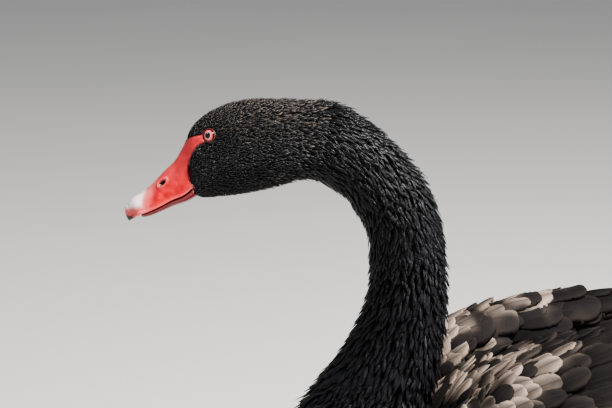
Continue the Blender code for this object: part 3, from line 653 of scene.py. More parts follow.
# %% A kind of feather
@dataclass
class Kind:
    """The form that feathers of one kind share."""
    stations: np.ndarray    # places of the rings along the feather, from 0 to 1
    widths: np.ndarray      # share of the full width at each
    columns: int            # points across the upper face
    thick: float            # millimetres
    camber: float           # how far the edges lie below the shaft, as a share of the half width
    ease: float             # how early the feather reaches its tip's height
    ragged: float = 0.0     # how uneven the edges are


def tapered(rings, widest, root, tip, **form):
    """A pointed kind, widest at one place along it."""
    stations = np.linspace(0, 1, rings)
    before = root + (1 - root) * np.sin(np.clip(stations / widest, 0, 1) * math.pi / 2)
    after = tip + (1 - tip) * np.cos(np.clip((stations - widest) / (1 - widest), 0, 1) * math.pi / 2)
    return Kind(stations, np.where(stations < widest, before, after), **form)


def rounded(rings, root, full, turn, **form):
    """A blunt kind with a rounded tip: full from one place on, and turning in from another."""
    stations = np.sin(np.linspace(0, 1, rings) * math.pi / 2) ** 1.1
    grown = root + (1 - root) * np.clip(stations / full, 0, 1) ** 0.8
    end = np.clip((stations - turn) / (1.015 - turn), 0, 1)
    return Kind(stations, grown * np.sqrt(1 - end**2), **form)


head_tuft = tapered(4, 0.4, 0.5, 0.08, columns=3, thick=0.32, camber=0.25, ease=1.7)
neck_lock = tapered(6, 0.45, 0.5, 0.10, columns=5, thick=0.45, camber=0.34, ease=1.3)
body_feather = rounded(8, 0.35, 0.5, 0.60, columns=5, thick=0.5, camber=0.22, ease=1.5, ragged=0.12)
covert = rounded(12, 0.35, 0.5, 0.62, columns=7, thick=0.6, camber=0.16, ease=1.5, ragged=0.09)
flight_feather = rounded(18, 0.30, 0.5, 0.72, columns=9, thick=0.8, camber=0.10, ease=1.6, ragged=0.07)
print("a neck lock's widths", neck_lock.widths.round(2))

# %% [markdown]
# Every feather of a piece is made at once. The roots' own directions turn lengths in millimetres into steps
# on the surface. Each feather's patch of the UV map lies at its root's place, and the few large feathers
# have a cell of their own.

# %% Steps on a surface, and the feathers' UV map
PATCH = 0.003
CELL_EDGE = 0.08
chance = np.random.default_rng(7)


def steps_on(shell, u, v):
    """How a metre backwards and a metre sideways change u and v on a shell."""
    flat = np.zeros(np.shape(u))
    back = (shell(u + 0.01, v, flat) - shell(u - 0.01, v, flat)) / 0.02
    side = (shell(u, v + 0.01, flat) - shell(u, v - 0.01, flat)) / 0.02
    speed = np.linalg.norm(back, axis=-1)
    slant = np.sum(side * back, axis=-1) / speed
    across = np.sqrt(np.sum(side * side, axis=-1) - slant**2)
    return speed, across, slant


def patch_uv(u, v, along, column, span, cells):
    """Each feather's patch of the UV map: small and at its root's place, or a cell of its own."""
    column = column * 0.5 + 0.5
    if cells:
        cells_across = math.ceil(math.sqrt(len(u)))
        cell, inner = np.arange(len(u))[:, None, None], 1 - 2 * CELL_EDGE
        return ((cell % cells_across + CELL_EDGE + inner * column) / cells_across,
                (cell // cells_across + CELL_EDGE + inner * along) / cells_across)
    low_u, high_u, low_v, high_v = span
    return ((u[:, None, None] - low_u) / (high_u - low_u) * 0.99 + PATCH * along,
            (v[:, None, None] - low_v) / (high_v - low_v) * 0.99 + PATCH * column)


body_shell = raised(body_surface)
print("one slice of neck is", steps_on(body_shell, np.array([12.0]), np.array([0.0]))[0].round(4), "metres")

# %% Lay feathers on a surface
def lay(name, shell, u, v, kind, span, length, width, lie, root, tip, curl=0.0, bend=0.0, frill=0.0,
        cells=False, slot="black_feathers", solids=()):
    """A piece of feathers rooted at (u, v): lengths in millimetres, lie in degrees off straight back."""
    numbers = (length, width, np.radians(lie), root, tip, curl, bend, frill)
    length, width, lie, root, tip, curl, bend, frill = (
        np.broadcast_to(number, len(u)).astype(float)[:, None, None] for number in numbers)
    along = kind.stations[None, :, None]
    column = np.linspace(-1, 1, kind.columns)[None, None, :]
    half = width / 2 * kind.widths[None, :, None]
    uneven = chance.uniform(-1, 1, (len(u), kind.stations.size, kind.columns))
    aside = half * column * (1 + kind.ragged * uneven * (1 - kind.widths[None, :, None] * 0.5))
    swerve = aside + bend * length * along**2
    forth = length * along + kind.ragged * uneven * half * np.abs(column)
    backward = (forth * np.cos(lie) - swerve * np.sin(lie)) * MM
    sideways = (forth * np.sin(lie) + swerve * np.cos(lie)) * MM
    speed, across, slant = (number[:, None, None] for number in steps_on(shell, u, v))
    v_step = sideways / across
    u_step = (backward - v_step * slant) / speed
    wave = np.sin(2 * math.pi * (along * 3.1 + uneven[:, :1, :1] + 0.25 * column))
    height = root + (tip - root) * (1 - (1 - along) ** kind.ease) + curl * along**3
    height = height - kind.camber * half * column**2 + frill * wave * along**3 * np.abs(column) ** 1.5
    body = kind.thick / 2 * np.sqrt(1 - np.abs(column) ** 3) * (0.35 + 0.65 * (1 - along))
    u_all, v_all = u[:, None, None] + u_step, v[:, None, None] + v_step
    upper = shell(u_all, v_all, (height + body) * MM)
    under = shell(u_all, v_all, (height - body) * MM)
    inner = slice(kind.columns - 2, 0, -1)
    ring = np.concatenate([upper, under[:, :, inner]], axis=2)
    found = np.isfinite(ring).all(axis=(1, 2, 3))       # a root past the surface's edge has no direction

    def ringed(number):
        full = np.broadcast_to(number, (len(u), kind.stations.size, kind.columns))
        return np.concatenate([full, full[:, :, inner]], axis=2)[found]

    ring = ring[found]
    count, rings, sides = ring.shape[:3]
    first = (np.arange(count) * rings * sides)[:, None]
    caps = [first + np.arange(sides)[::-1], first + (rings - 1) * sides + np.arange(sides)]
    quads = (first[:, :, None] + loft_polygons(rings, sides)[0]).reshape(-1, 4)
    uv = np.stack([ringed(number).ravel() for number in patch_uv(u, v, along, column, span, cells)], axis=1)
    values = {
        "tone": ringed(chance.random((len(u), 1, 1))),
        "along": ringed(along),
        "aside": ringed(aside),
        "reach": ringed(forth),
        "edge": ringed(np.abs(column)),
    }
    print(name, count, "feathers")
    return dress(mesh_piece(name, ring.reshape(-1, 3), [quads, *caps], uv, values), slot, *solids)


print("feathers can be laid")

# %% Roots in rows
PROBES = 90


def rows_on(shell, u_from, u_to, v_from, v_to, row, gap, jitter=0.32):
    """Roots in staggered rows, even in millimetres wherever the surface widens or narrows."""
    probe = np.linspace(v_from, v_to, PROBES)
    found, u, odd = [], u_from, 0
    while u < u_to:
        speed, across, slant = steps_on(shell, np.full(PROBES, u), probe)
        width = np.hypot(across, slant)
        arc = np.concatenate([[0.0], np.cumsum((width[1:] + width[:-1]) / 2 * np.diff(probe))])
        count = max(3, round(arc[-1] / (gap(u) * MM)))
        spots = (np.arange(count) + 0.25 + 0.5 * odd + chance.uniform(-jitter, jitter, count)) % count
        v = np.interp(spots / count * arc[-1], arc, probe)
        kept = chance.random(count) < np.interp(v, probe, speed / speed.max())
        step = row(u) * MM / speed.max()
        found.append(np.stack([u + chance.uniform(-jitter, jitter, count) * step, v], axis=1)[kept])
        u, odd = u + step, 1 - odd
    return np.concatenate(found).T


print("roots can be placed in rows")

# %% [markdown]
# ## The body's coat
# The feathers are shortest on the face, grow into narrow pointed locks down the neck, and broaden on the
# breast and belly. One table gives their size along the body, and the rows follow it.

# %% Sizes of the coat along the body
COAT = np.array([
    # place, row, gap, length, width
    (0.0, 1.25, 1.05, 3.2, 1.3),
    (3.0, 1.5, 1.25, 3.8, 1.5),
    (6.0, 2.3, 1.8, 6.5, 2.3),
    (9.0, 4.0, 2.6, 11.5, 3.6),
    (13.0, 5.2, 3.3, 14.5, 4.6),
    (16.0, 6.2, 4.4, 18.0, 6.2),
    (18.0, 8.0, 6.5, 25.0, 10.0),
    (22.0, 12.0, 9.0, 34.0, 15.0),
    (27.0, 13.0, 10.0, 40.0, 17.0),
])
BODY_SPAN = (-0.5, 28.0, -0.1, 2 * math.pi + 0.1)


def coat_size(column):
    return lambda place: np.interp(place, COAT[:, 0], COAT[:, column])


row_of, gap_of, length_of, width_of = (coat_size(column) for column in (1, 2, 3, 4))
print("a feather's length at places 0, 12 and 24", length_of([0, 12, 24]))

# %% A piece of the body's coat
def coat(name, u, v, kind, ruffle, swing):
    """A piece of the body's coat: its lengths and widths by place, its tips near the solid's surface."""
    count = len(u)
    depth = coat_depth(u) / MM
    tip = chance.normal(0.2, 1.0, count) * ruffle
    return lay(name, body_shell, u, v, kind, BODY_SPAN,
               length=length_of(u) * chance.uniform(0.8, 1.2, count),
               width=width_of(u) * chance.uniform(0.8, 1.15, count),
               lie=chance.normal(0, 1.0, count) * swing,
               root=-depth - 0.5, tip=np.clip(tip, -0.6 * depth, 4.0),
               curl=chance.uniform(-0.4, 1.0, count) * ruffle, bend=chance.normal(0, 0.06, count))


# %% The face's and the head's tufts, which part round the eye and end at the bare skin
BARE_EYE = 5.7


def head_coat(name, start, end):
    """Short tufts between two places, but none on the bare skin or in the eye."""
    u, v = rows_on(body_shell, start, end, 0, 2 * math.pi, row_of, gap_of)
    spots, _ = head_spots(body_surface(u, v))
    from_eye = np.linalg.norm((spots - EYE) * (1.0, 1.05), axis=1)
    kept = (inside_outline(spots, BARE_SKIN) < 0.2) & (from_eye > BARE_EYE)
    u, v = u[kept], v[kept]
    coat(name, u, v, head_tuft, np.interp(u, [0, 2, 4, 7], [0.06, 0.14, 0.25, 0.6]), 10)


head_coat("coat_face", 0.02, 3.05)
head_coat("coat_head", 2.95, 7.0)

# %% The neck's pointed locks, ruffled on the nape and at the foot of the throat
for number, (start, end) in enumerate(((6.6, 11.6), (11.3, 15.2), (15.0, 17.6))):
    u, v = rows_on(body_shell, start, end, 0, 2 * math.pi, row_of, gap_of, 0.22)
    nape = np.clip(np.cos(v), 0, 1) ** 4
    throat = np.clip(-np.cos(v), 0, 1) ** 2 * np.clip((u - 14.5) / 2, 0, 1)
    coat(f"coat_neck_{number + 1}", u, v, neck_lock, 0.38 + 0.6 * nape + 1.6 * throat, 12)

# %% The breast's, the flanks' and the back's broad feathers, but none under the wings
BACK_EDGE = 66      # degrees from the back's middle, where the flanks' feathers take over
for name, start, end, above in (("breast", 17.2, 20.0, False), ("flank", 19.6, 27.6, False),
                                ("back", 17.7, 27.6, True)):
    u, v = rows_on(body_shell, start, end, 0, 2 * math.pi, row_of, gap_of)
    length = (u - WING_START) / (WING_END - WING_START)
    turned = np.degrees(np.where(v > math.pi, 2 * math.pi - v, v))
    upper, lower = (np.interp(length, WING_SHAPE[:, 0], WING_SHAPE[:, k]) for k in (1, 2))
    free = (length < 0.10) | (turned < upper + 4) | (turned > lower - 8)
    kept = free & ((turned < BACK_EDGE) == above)
    coat("coat_" + name, u[kept], v[kept], body_feather, 1.2, 9)

# %% [markdown]
# ## The folded wings
# A folded wing shows small coverts on its front, then longer ones, then the broad curled tertials and
# scapulars that a black swan ruffles. The white flight feathers lie under them and show only at their tips.
# Each row starts under the one in front, and the later rows are long and few.

# %% Rows of the wing's feathers
WING_SPAN = (-0.1, WING_REACH + 0.2, -0.3, 1.3)
WING_ROWS = [
    # name, first and last row as fractions of the wing, rows, first and last place across,
    # feathers in a row, length and width in millimetres, height at the tip, curl, frill, kind
    ("lesser", -0.02, 0.26, 11, 0.015, 0.90, 19, 26, 14, 1.8, 0.8, 0.0, covert),
    ("median", 0.24, 0.40, 4, 0.015, 0.90, 16, 38, 19, 3.2, 1.5, 0.4, covert),
    ("greater", 0.34, 0.56, 4, 0.015, 0.90, 14, 58, 24, 4.2, 3.0, 1.0, flight_feather),
    ("tertial", 0.48, 0.84, 5, 0.015, 0.90, 12, 84, 29, 5.2, 8.0, 2.0, flight_feather),
    ("hindmost", 0.86, 0.98, 2, 0.03, 0.66, 9, 98, 27, 5.2, 8.0, 2.0, flight_feather),
    ("primary", 0.90, 0.98, 2, 0.70, 0.88, 4, 118, 16, 1.0, 0.0, 0.2, flight_feather),
]


def wing_feathers(word, shell):
    """All rows of one wing, from the lowest layer to the highest."""
    for name, start, end, rows, first, last, count, length, width, tip, curl, frill, kind in WING_ROWS:
        row, order = crossed(np.arange(rows), np.arange(count))
        total = len(row)
        u = start + (end - start) * row / (rows - 1) + chance.uniform(-0.006, 0.006, total)
        spread = (order + 0.5 * (row % 2)) / count
        v = np.interp(spread, [0, 0.2, 1], [first, first + 0.1, last]) + chance.uniform(-0.012, 0.012, total)
        rise = np.interp(v, [first, first + 0.1, last], [0.4, 1.2, 0.8])
        lay(f"wing_{name}_{word}", shell, u, v, kind, WING_SPAN,
            length=length * chance.uniform(0.88, 1.1, total),
            width=width * chance.uniform(0.9, 1.1, total),
            lie=chance.normal(0, 4, total), root=-4.0, tip=tip * rise + chance.normal(0, 0.6, total),
            curl=curl * rise * chance.uniform(0.1, 1.0, total), bend=chance.normal(0.0, 0.05, total),
            frill=frill, cells=kind is flight_feather, slot="wing_feathers", solids=["wing_" + word])


wing_feathers("left", raised(left_wing, 1, WING_SMOOTH))
wing_feathers("right", raised(right_wing, -1, WING_SMOOTH))

# %% [markdown]
# ## The tail
# Eighteen stiff feathers make a swan's tail, the outer ones shorter and lower, and coverts close it above and
# below. One flat plate would read as a board from behind. So each feather is laid on the fan's shell, a
# little higher towards the middle, and its neighbour's edge shows beside it. The thighs have soft feathers
# like the neck's, which end at the hock.

# %% The tail's fan and coverts
TAIL_FULL = 154.0
TAIL_ROWS = [
    # name, feathers, start and tip as shares of the fan, spread, width, height, tilt
    ("tail_feathers", 18, 0.18, 1.0, 0.93, 23, 0.4, 7.0),
    ("tail_coverts_upper_long", 9, 0.12, 0.74, 0.62, 24, 5.0, 2.0),
    ("tail_coverts_upper_short", 9, 0.02, 0.50, 0.60, 24, 8.0, 2.0),
    ("tail_coverts_lower_long", 9, 0.12, 0.66, 0.62, 24, -5.0, -2.0),
    ("tail_coverts_lower_short", 9, 0.02, 0.46, 0.60, 24, -8.0, -2.0),
]


def tail_shell(reach, across, lift):
    """The tail's fan raised by a lift, from its share of the full reach."""
    up = np.stack([math.sin(TAIL_DROOP) * lift, 0 * lift, math.cos(TAIL_DROOP) * lift], axis=-1)
    return tail_surface(*np.broadcast_arrays(reach * TAIL_FULL, across)) + up


for name, count, start, tip, spread, width, height, tilt in TAIL_ROWS:
    v = np.linspace(-spread, spread, count)
    order = np.abs(np.arange(count) - (count - 1) / 2)
    length = (tip - start) * TAIL_FULL * (1 - 0.26 * v**2 + 0.03 * np.sin(37 * v))
    step = height + tilt * (order.max() - order) / order.max() - 7 * v**2
    lay(name, tail_shell, np.full(count, start), v, flight_feather, (0, 1, -1.2, 1.2),
        length=length, width=width, lie=0.0, root=step * 0.3, tip=step, bend=0.02 * v,
        curl=chance.uniform(-0.8, 0.8, count), frill=0.3, cells=True, solids=["tail"])

# %% The thighs' soft feathers
THIGH_ROW, THIGH_GAP, THIGH_LENGTH, THIGH_WIDTH = 5.0, 3.6, 15, 5.5
for word, side in SIDES.items():
    thigh_shell = raised(thigh_surface(side))
    u, v = rows_on(thigh_shell, 0.25, 0.93, 0, 2 * math.pi, lambda share: THIGH_ROW, lambda share: THIGH_GAP)
    size = np.interp(u, [0.25, 0.95], [1.3, 0.55])
    lay("coat_thigh_" + word, thigh_shell, u, v, neck_lock, (-0.5, 2.0, -0.1, 2 * math.pi + 0.1),
        length=THIGH_LENGTH * size, width=THIGH_WIDTH * size, lie=chance.normal(0, 9, len(u)), root=-3.6,
        tip=chance.uniform(-0.4, 1.2, len(u)), curl=chance.uniform(-0.4, 0.6, len(u)),
        solids=["thigh_" + word])

# %% [markdown]
# ## The bill and the bare skin
# A swan's bill is horn over bone, an arch with a rounded tip, and at its base it turns without a seam into
# the face's bare skin. Two pieces would leave a line there. So one mesh runs from the bill's tip over the
# face up to the eye, and places below zero are the face's. Its relief is pushed along its own normal:
# a groove above the mouth's edge, the nail, the nostril's slit and the fold at the corner of the mouth.

# %% The bill's surface
NOSTRIL, NOSTRIL_HALF = np.array([-177.4, 516.2]), (3.5, 1.5)
BILL_SLOPE, BILL_BASE = math.radians(40), 1.3


def bill_surface(table, shape, blunt):
    """Half a bill's surface, whose last stretch is drawn together to a rounded end."""
    last = len(table) - 1.0

    def surface(place, angle):
        rows = smooth_rows(table, place)
        points = shape(rows, angle)
        middle = (shape(rows, np.zeros(angle.shape)) + shape(rows, np.full(angle.shape, math.pi))) / 2
        share = np.clip((place - (last - blunt)) / blunt, 0, 0.995)
        return middle + (points - middle) * np.sqrt(1 - share**2)[..., None] + STANCE

    return surface


def smooth_step(value, low, high):
    share = np.clip((value - low) / (high - low), 0, 1)
    return share * share * (3 - 2 * share)


upper_horn = bill_surface(UPPER_BILL, arch_points, 0.55)
print("the bill's tip is at", upper_horn(np.array([7.0]), np.array([0.0])).round(4))

# %% The face's surface, which the bill's turns into
def face_surface(place, angle):
    """The face's surface by the upper bill's own angles, with a floor from gape to gape."""
    level = smooth_rows(BODY, place)[..., 5]
    low = np.interp(place, [0.0, 0.4, 2.2], [0.24, 0.16, 0.16])
    share = low + (1 - low) * np.maximum(np.cos(angle), 0.0) ** 0.9
    rise = np.where(share > level, (share - level) / (1 - level), (share - level) / level)
    round_it = np.arccos(np.clip(rise, -1, 1))
    left, right = body_surface(place, round_it), body_surface(place, -round_it)
    floor = (left + right) / 2 + (left - right) / 2 * np.sin(angle)[..., None]
    side = np.where((np.sin(angle) >= 0)[..., None], left, right)
    return np.where((np.cos(angle) < 0)[..., None], floor, side)


def bill_and_face(place, angle):
    """The upper bill from its place 0 to 7, and the face's bare skin from -2.2 to 0."""
    share = 1 - smooth_step(place, 0.0, BILL_BASE)
    base = np.zeros(place.shape)
    horn = upper_horn(np.maximum(place, 0.0), angle)
    horn = horn + (face_surface(base, angle) - upper_horn(base, angle)) * share[..., None]
    return np.where((place < 0)[..., None], face_surface(np.maximum(-place, 0.0), angle), horn)


print("the bill's base is at", bill_and_face(np.array([0.0]), np.array([0.0])).round(4))

# %% Marks on the bill: the nostril, the fold at the corner of the mouth, and the pale band's lower edge
GAPE_FOLD = np.array([-153.2, 514.6])
WHITE_EDGE, WHITE_LEVEL, WHITE_LEAN = -190.8, 505, 0.25
WHITE_LINE = ((-192.6, 498.6), (-205.7, 494.6))
DARK_TIP = (-196.0, 490.9)


def nostril_ring(spots):
    """1 on the nostril's edge, less inside it."""
    offset = spots - NOSTRIL
    slit = offset[:, 0] * math.cos(BILL_SLOPE) + offset[:, 1] * math.sin(BILL_SLOPE)
    wide = -offset[:, 0] * math.sin(BILL_SLOPE) + offset[:, 1] * math.cos(BILL_SLOPE)
    return np.hypot(slit / NOSTRIL_HALF[0], wide / NOSTRIL_HALF[1])


def gape_fold(spots, aside, drop, reach):
    """1 on the fold at the corner of the mouth, which lies a drop below its mark, and 0 away from it."""
    return np.exp(-np.sum(((spots - GAPE_FOLD + drop) / reach) ** 2, axis=1)) * (np.abs(aside) > 6)


def band(value, middle, half):
    """1 at a middle, and falling away on both sides of it."""
    return np.exp(-(((value - middle) / half) ** 2))


def white_band(spots):
    """How far inside the pale band a place lies: in front of its edge, and above its lower line."""
    slope = (WHITE_LINE[1][1] - WHITE_LINE[0][1]) / (WHITE_LINE[1][0] - WHITE_LINE[0][0])
    line = WHITE_LINE[0][1] + slope * (spots[:, 0] - WHITE_LINE[0][0])
    edge = WHITE_EDGE - spots[:, 0] - WHITE_LEAN * (WHITE_LEVEL - spots[:, 1])
    return np.minimum(edge, spots[:, 1] - line)


print("at the nostril's middle", nostril_ring(NOSTRIL[None]))

# %% The relief of the upper bill and of the lower one
def upper_relief(spots, aside, above, place):
    """Millimetres to raise the upper bill and the face, and the values that their finish reads."""
    pit = nostril_ring(spots)
    relief = 0.28 * band(above, 1.2, 0.8) - 0.38 * band(above, 3.0, 0.8)
    relief = relief * smooth_step(place, 0.3, 1.2) * (1 - smooth_step(place, 5.6, 6.4))
    nostril = -2.4 * smooth_step(1 - pit, 0.0, 0.75) + 0.5 * band(pit, 1.3, 0.28)
    nail = 0.45 * smooth_step(place, 5.75, 6.05) * (1 - smooth_step(np.abs(aside), 4.5, 7.5))
    relief = relief + nostril * (np.abs(aside) > 3) + nail
    inside = inside_outline(spots, BARE_SKIN)
    from_eye = np.linalg.norm(spots - EYE, axis=1)
    face = 0.15 - 1.75 * smooth_step(-inside, -0.1, 1.3) - 2.0 * smooth_step(4.9 - from_eye, 0.0, 0.8)
    share = 1 - smooth_step(place, 0.0, 0.35)
    fold = gape_fold(spots, aside, (0.0, 0.0), (1.1, 2.4))
    values = {"white": white_band(spots), "pit": pit, "above": above, "fold": fold,
              "inside": np.where(place < 0.35, inside, 9.0),
              "beyond": np.minimum(DARK_TIP[1] - spots[:, 1], DARK_TIP[0] - spots[:, 0])}
    return relief * (1 - share) + face * share + 0.9 * fold, values


def lower_relief(spots, aside, above, place):
    """The same for the lower bill, which has only the fold. Its other values lie far from every mark."""
    far = np.full(len(spots), 9.0)
    fold = gape_fold(spots, aside, (0.4, 3.4), (1.1, 1.6))
    return 0.5 * fold, {"white": -far, "pit": far, "above": above, "fold": fold, "inside": far,
                        "beyond": -far, "mandible": far / 9}


print("reliefs of the bill ready")

# %% The two halves of the bill
def bill_piece(name, surface, places, sides, relief, solid):
    """One half of the bill with its relief, and its own values for the finish."""
    place, angle = crossed(places, round_angles(sides))
    point, _, _, inward = surface_frame(surface, place, angle)
    spots, aside = head_spots(point)
    above = np.clip(np.cos(angle), 0, 1) ** 0.9 * np.interp(place, [0, 3, 6, 7], [35, 18, 11, 6])
    lift, values = relief(spots, aside, above, place)
    piece = mesh_piece(name, point - inward * lift[:, None] * MM, loft_polygons(len(places), sides),
                       values=values)
    return dress(outward(piece), "red_bill", solid)


upper_places = np.concatenate([np.linspace(-2.2, 0, 80)[:-1], np.linspace(0, 7, 210)])
upper_bill = bill_piece("upper_bill", bill_and_face, upper_places, 180, upper_relief, "bill_upper")
lower_bill = bill_piece("lower_bill", bill_surface(LOWER_BILL, slice_points, 0.6), np.linspace(0, 5, 120), 90,
                        lower_relief, "bill_lower")

# %% [markdown]
# ## The eyes
# A swan's eye is a wet ball in a ring of soft lid. Each eyeball stands where the solid's eye is, and looks
# along the skin's own normal. Its points keep their distance from the line of sight in millimetres, widened
# sideways because the pupil is a tall oval, so that the finish can draw pupil and iris without a picture.
# The lids are a soft roll of skin round the ball, a ring that is a little uneven.

# %% Where the eyes are and look
def eye_axes(side):
    """The eye's forward, upward and outward directions, and its centre."""
    low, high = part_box("eye_left" if side > 0 else "eye_right")
    centre = np.array((low + high) / 2)
    point, _, _, out = surface_frame(body_surface, *crossed(np.linspace(0, 3, 200),
                                                            np.linspace(0, math.pi, 400) * side))
    look = out[np.argmin(np.linalg.norm(point - centre, axis=1))]
    forward = in_plane(-1.0, 0.0, HEAD_TURN) / MM
    forward = forward - look * (forward @ look)
    forward = forward / np.linalg.norm(forward)
    upward = np.cross(look, forward) * side
    return np.stack([forward, upward * np.sign(upward[2]), look]), centre


eyes = {word: eye_axes(side) for word, side in SIDES.items()}
print("eyes at", [tuple(centre.round(4)) for _, centre in eyes.values()])

# %% The eyeballs
EYE_RADIUS, PUPIL_NARROW = 6.2, 0.78
EYE_RINGS, EYE_SIDES = 48, 64
CORNEA, CORNEA_HALF = 0.035, 0.45      # its rise as a share of the radius, and its half width in radians


def eyeball(word, axes, centre):
    """A ball that swells a little in front, as a cornea does."""
    polar, turn = crossed(np.linspace(0.015, math.pi - 0.015, EYE_RINGS), round_angles(EYE_SIDES))
    local = np.stack([np.sin(polar) * np.cos(turn), np.sin(polar) * np.sin(turn), np.cos(polar)], axis=-1)
    swell = 1 + CORNEA * band(np.arccos(local[:, 2]), 0.0, CORNEA_HALF)
    points = centre + (local * (EYE_RADIUS * MM * swell)[:, None]) @ axes
    ring = EYE_RADIUS * np.hypot(local[:, 0] / PUPIL_NARROW, local[:, 1])
    ball = mesh_piece("eyeball_" + word, points, loft_polygons(EYE_RINGS, EYE_SIDES),
                      values={"ring": np.where(local[:, 2] > 0, ring, 9.0)})
    dress(outward(ball), "red_eye", "eye_" + word)


for word, (axes, centre) in eyes.items():
    eyeball(word, axes, centre)

# %% The lids
LID_AROUND, LID_SIDES = 96, 18
LID_HALF, LID_RISE = 4.72, 4.42


def lid(word, axes, centre):
    """A roll of bare skin round the eye: an oval ring, thicker in front and behind."""
    turn, swing = crossed(round_angles(LID_AROUND), round_angles(LID_SIDES))
    thick = 0.62 + 0.12 * np.cos(turn) ** 2 + 0.04 * np.sin(11 * turn)
    reach = LID_HALF + 0.15 * np.abs(np.cos(turn)) ** 3 + thick * np.cos(swing)
    rise = LID_RISE + 0.9 * thick * np.sin(swing)
    local = np.stack([reach * np.cos(turn), reach * np.sin(turn) * 1.02, rise], axis=-1) * MM
    ring, side = np.meshgrid(np.arange(LID_AROUND), np.arange(LID_SIDES), indexing="ij")
    here, after = ring * LID_SIDES, (ring + 1) % LID_AROUND * LID_SIDES
    beside = (side + 1) % LID_SIDES
    quads = np.stack([here + side, here + beside, after + beside, after + side], axis=-1)
    dress(outward(mesh_piece("eyelid_" + word, centre + local @ axes, [quads.reshape(-1, 4)])), "red_bill")


for word, (axes, centre) in eyes.items():
    lid(word, axes, centre)

# %% [markdown]
# ## Legs and feet
# A swan's shank is a slim pillar, deeper from front to back than across, with a knob at the hock. Small
# six-sided scales cover it, and broad plates lie across the top of the toes. Three waves that cross at sixty
# degrees raise the scales in the mesh itself, so that they also show in plain clay. The webs are thin plates
# between the toes, hollowed at their front edge and creased along their length.

# %% A limb with scales
SCALE_HIGH, SOLE = 0.28, 0.3


def limb_mesh(table, rings, sides, flat, ahead, round_scales, size):
    """Points and polygons of a limb through rows of place and radius, with scales so long in millimetres."""
    rows = smooth_rows(np.asarray(table, float), np.linspace(0, len(table) - 1, rings))
    middle, radius = rows[:, :3], rows[:, 3]
    forward = np.gradient(middle, axis=0)
    step = np.linalg.norm(forward, axis=1, keepdims=True)
    forward = forward / step
    across = np.cross(forward, ahead)
    across = across / np.linalg.norm(across, axis=1, keepdims=True)
    up = np.cross(across, forward)
    angle = round_angles(sides)
    phase = np.cumsum(step[:, 0])[:, None] / size * math.pi
    waves = (2 * phase, phase + round_scales * angle, phase - round_scales * angle)
    scales = sum(np.cos(wave) for wave in waves) / 3
    plates = 1 - np.abs(np.cos(phase)) ** 12 * 2
    top = smooth_step(np.cos(angle), 0.1, 0.5) * (flat < 1)
    reach = radius[:, None] + SCALE_HIGH * (scales * (1 - top) + plates * top)
    spots = middle[:, None] + reach[..., None] * (
        up[:, None] * np.cos(angle)[:, None] * flat + across[:, None] * np.sin(angle)[:, None] * 0.85)
    spots[..., 2] = np.maximum(spots[..., 2], SOLE)
    return spots.reshape(-1, 3), loft_polygons(rings, sides)


def joined(name, parts, solid):
    """One piece from several closed meshes in millimetres."""
    points, polygons, start = [], [], 0
    for spots, faces in parts:
        points.append(spots * MM + STANCE)
        polygons += [face + start for face in faces]
        start += len(spots)
    return dress(outward(mesh_piece(name, np.concatenate(points), polygons)), "leg_skin", solid)


print("limbs can be made")

# %% The shank, the toes and the webs
SHANK = [
    # along, height, radius
    (168.8, 127.1, 8.2), (172.0, 122.0, 9.0), (174.3, 117.6, 9.6), (173.9, 111.5, 8.6), (170.8, 100.9, 6.5),
    (167.0, 86.9, 5.8), (161.6, 67.0, 5.5), (156.2, 47.0, 5.7), (152.1, 32.0, 6.2), (148.8, 20.0, 7.0),
    (146.9, 13.0, 7.0), (145.6, 7.6, 6.2),
]
FOOT_TURN = 8
TOES = {"inner": (-24, 84), "middle": (0, 108), "outer": (22, 100)}     # turn in degrees, and length
TOE_SHARES = (-0.04, 0.1, 0.3, 0.5, 0.68, 0.84, 0.97, 1.02)
TOE_RADII = (6.6, 6.4, 4.8, 5.5, 4.4, 4.8, 3.6, 2.6)
HIND_TOE = ((0, 12, 5), (8, 11, 3.8), (16, 8.5, 3.2), (23, 6.5, 2.6))      # reach behind, height, radius
KNUCKLE = (142.0, 7.0)      # along and height
WEB_ROWS, WEB_COLUMNS = 70, 40
WEB_TOP, WEB_SOLE, WEB_HOLLOW, WEB_SHORT = 2.1, 0.9, 0.11, 6


def shank(side):
    table = [(along, -side * LEG_ASIDE, height, radius) for along, height, radius in SHANK]
    return limb_mesh(table, 170, 54, 1.0, (1, 0, 0), 9, 4.0)


def toe(spots, radii, heights, rings):
    """A toe through places on the ground, with plates across its top."""
    table = [(*spot[:2], height, radius) for spot, height, radius in zip(spots, heights, radii)]
    return limb_mesh(table, rings, 26, 0.9, (0, 0, 1), 5, 3.2)


def web(knuckle, first, second):
    """A thin plate between two toes, hollowed in front and creased along its length."""
    across, along = (grid.ravel() for grid in np.meshgrid(np.linspace(0, 1, WEB_COLUMNS),
                                                          np.linspace(0.02, 1, WEB_ROWS)))
    front = along * (1 - WEB_HOLLOW * np.sin(math.pi * across))
    spots = knuckle + front[:, None] * (first + (second - first) * across[:, None])
    upper = WEB_TOP + 0.9 * np.abs(2 * across - 1) ** 3 + 0.2 * along * np.cos(14 * math.pi * across)
    upper = upper + 0.1 * np.cos(2 * math.pi * along * 24) * np.cos(2 * math.pi * across * 9)
    over, under = spots.copy(), spots.copy()
    over[:, 2], under[:, 2] = upper * (1 - smooth_step(along, 0.97, 1.0) * 0.3), WEB_SOLE
    grid = (WEB_ROWS, WEB_COLUMNS, 3)
    rows = np.concatenate([over.reshape(grid), under.reshape(grid)[:, ::-1]], axis=1)
    return rows.reshape(-1, 3), loft_polygons(WEB_ROWS, 2 * WEB_COLUMNS)


print("toes", list(TOES))

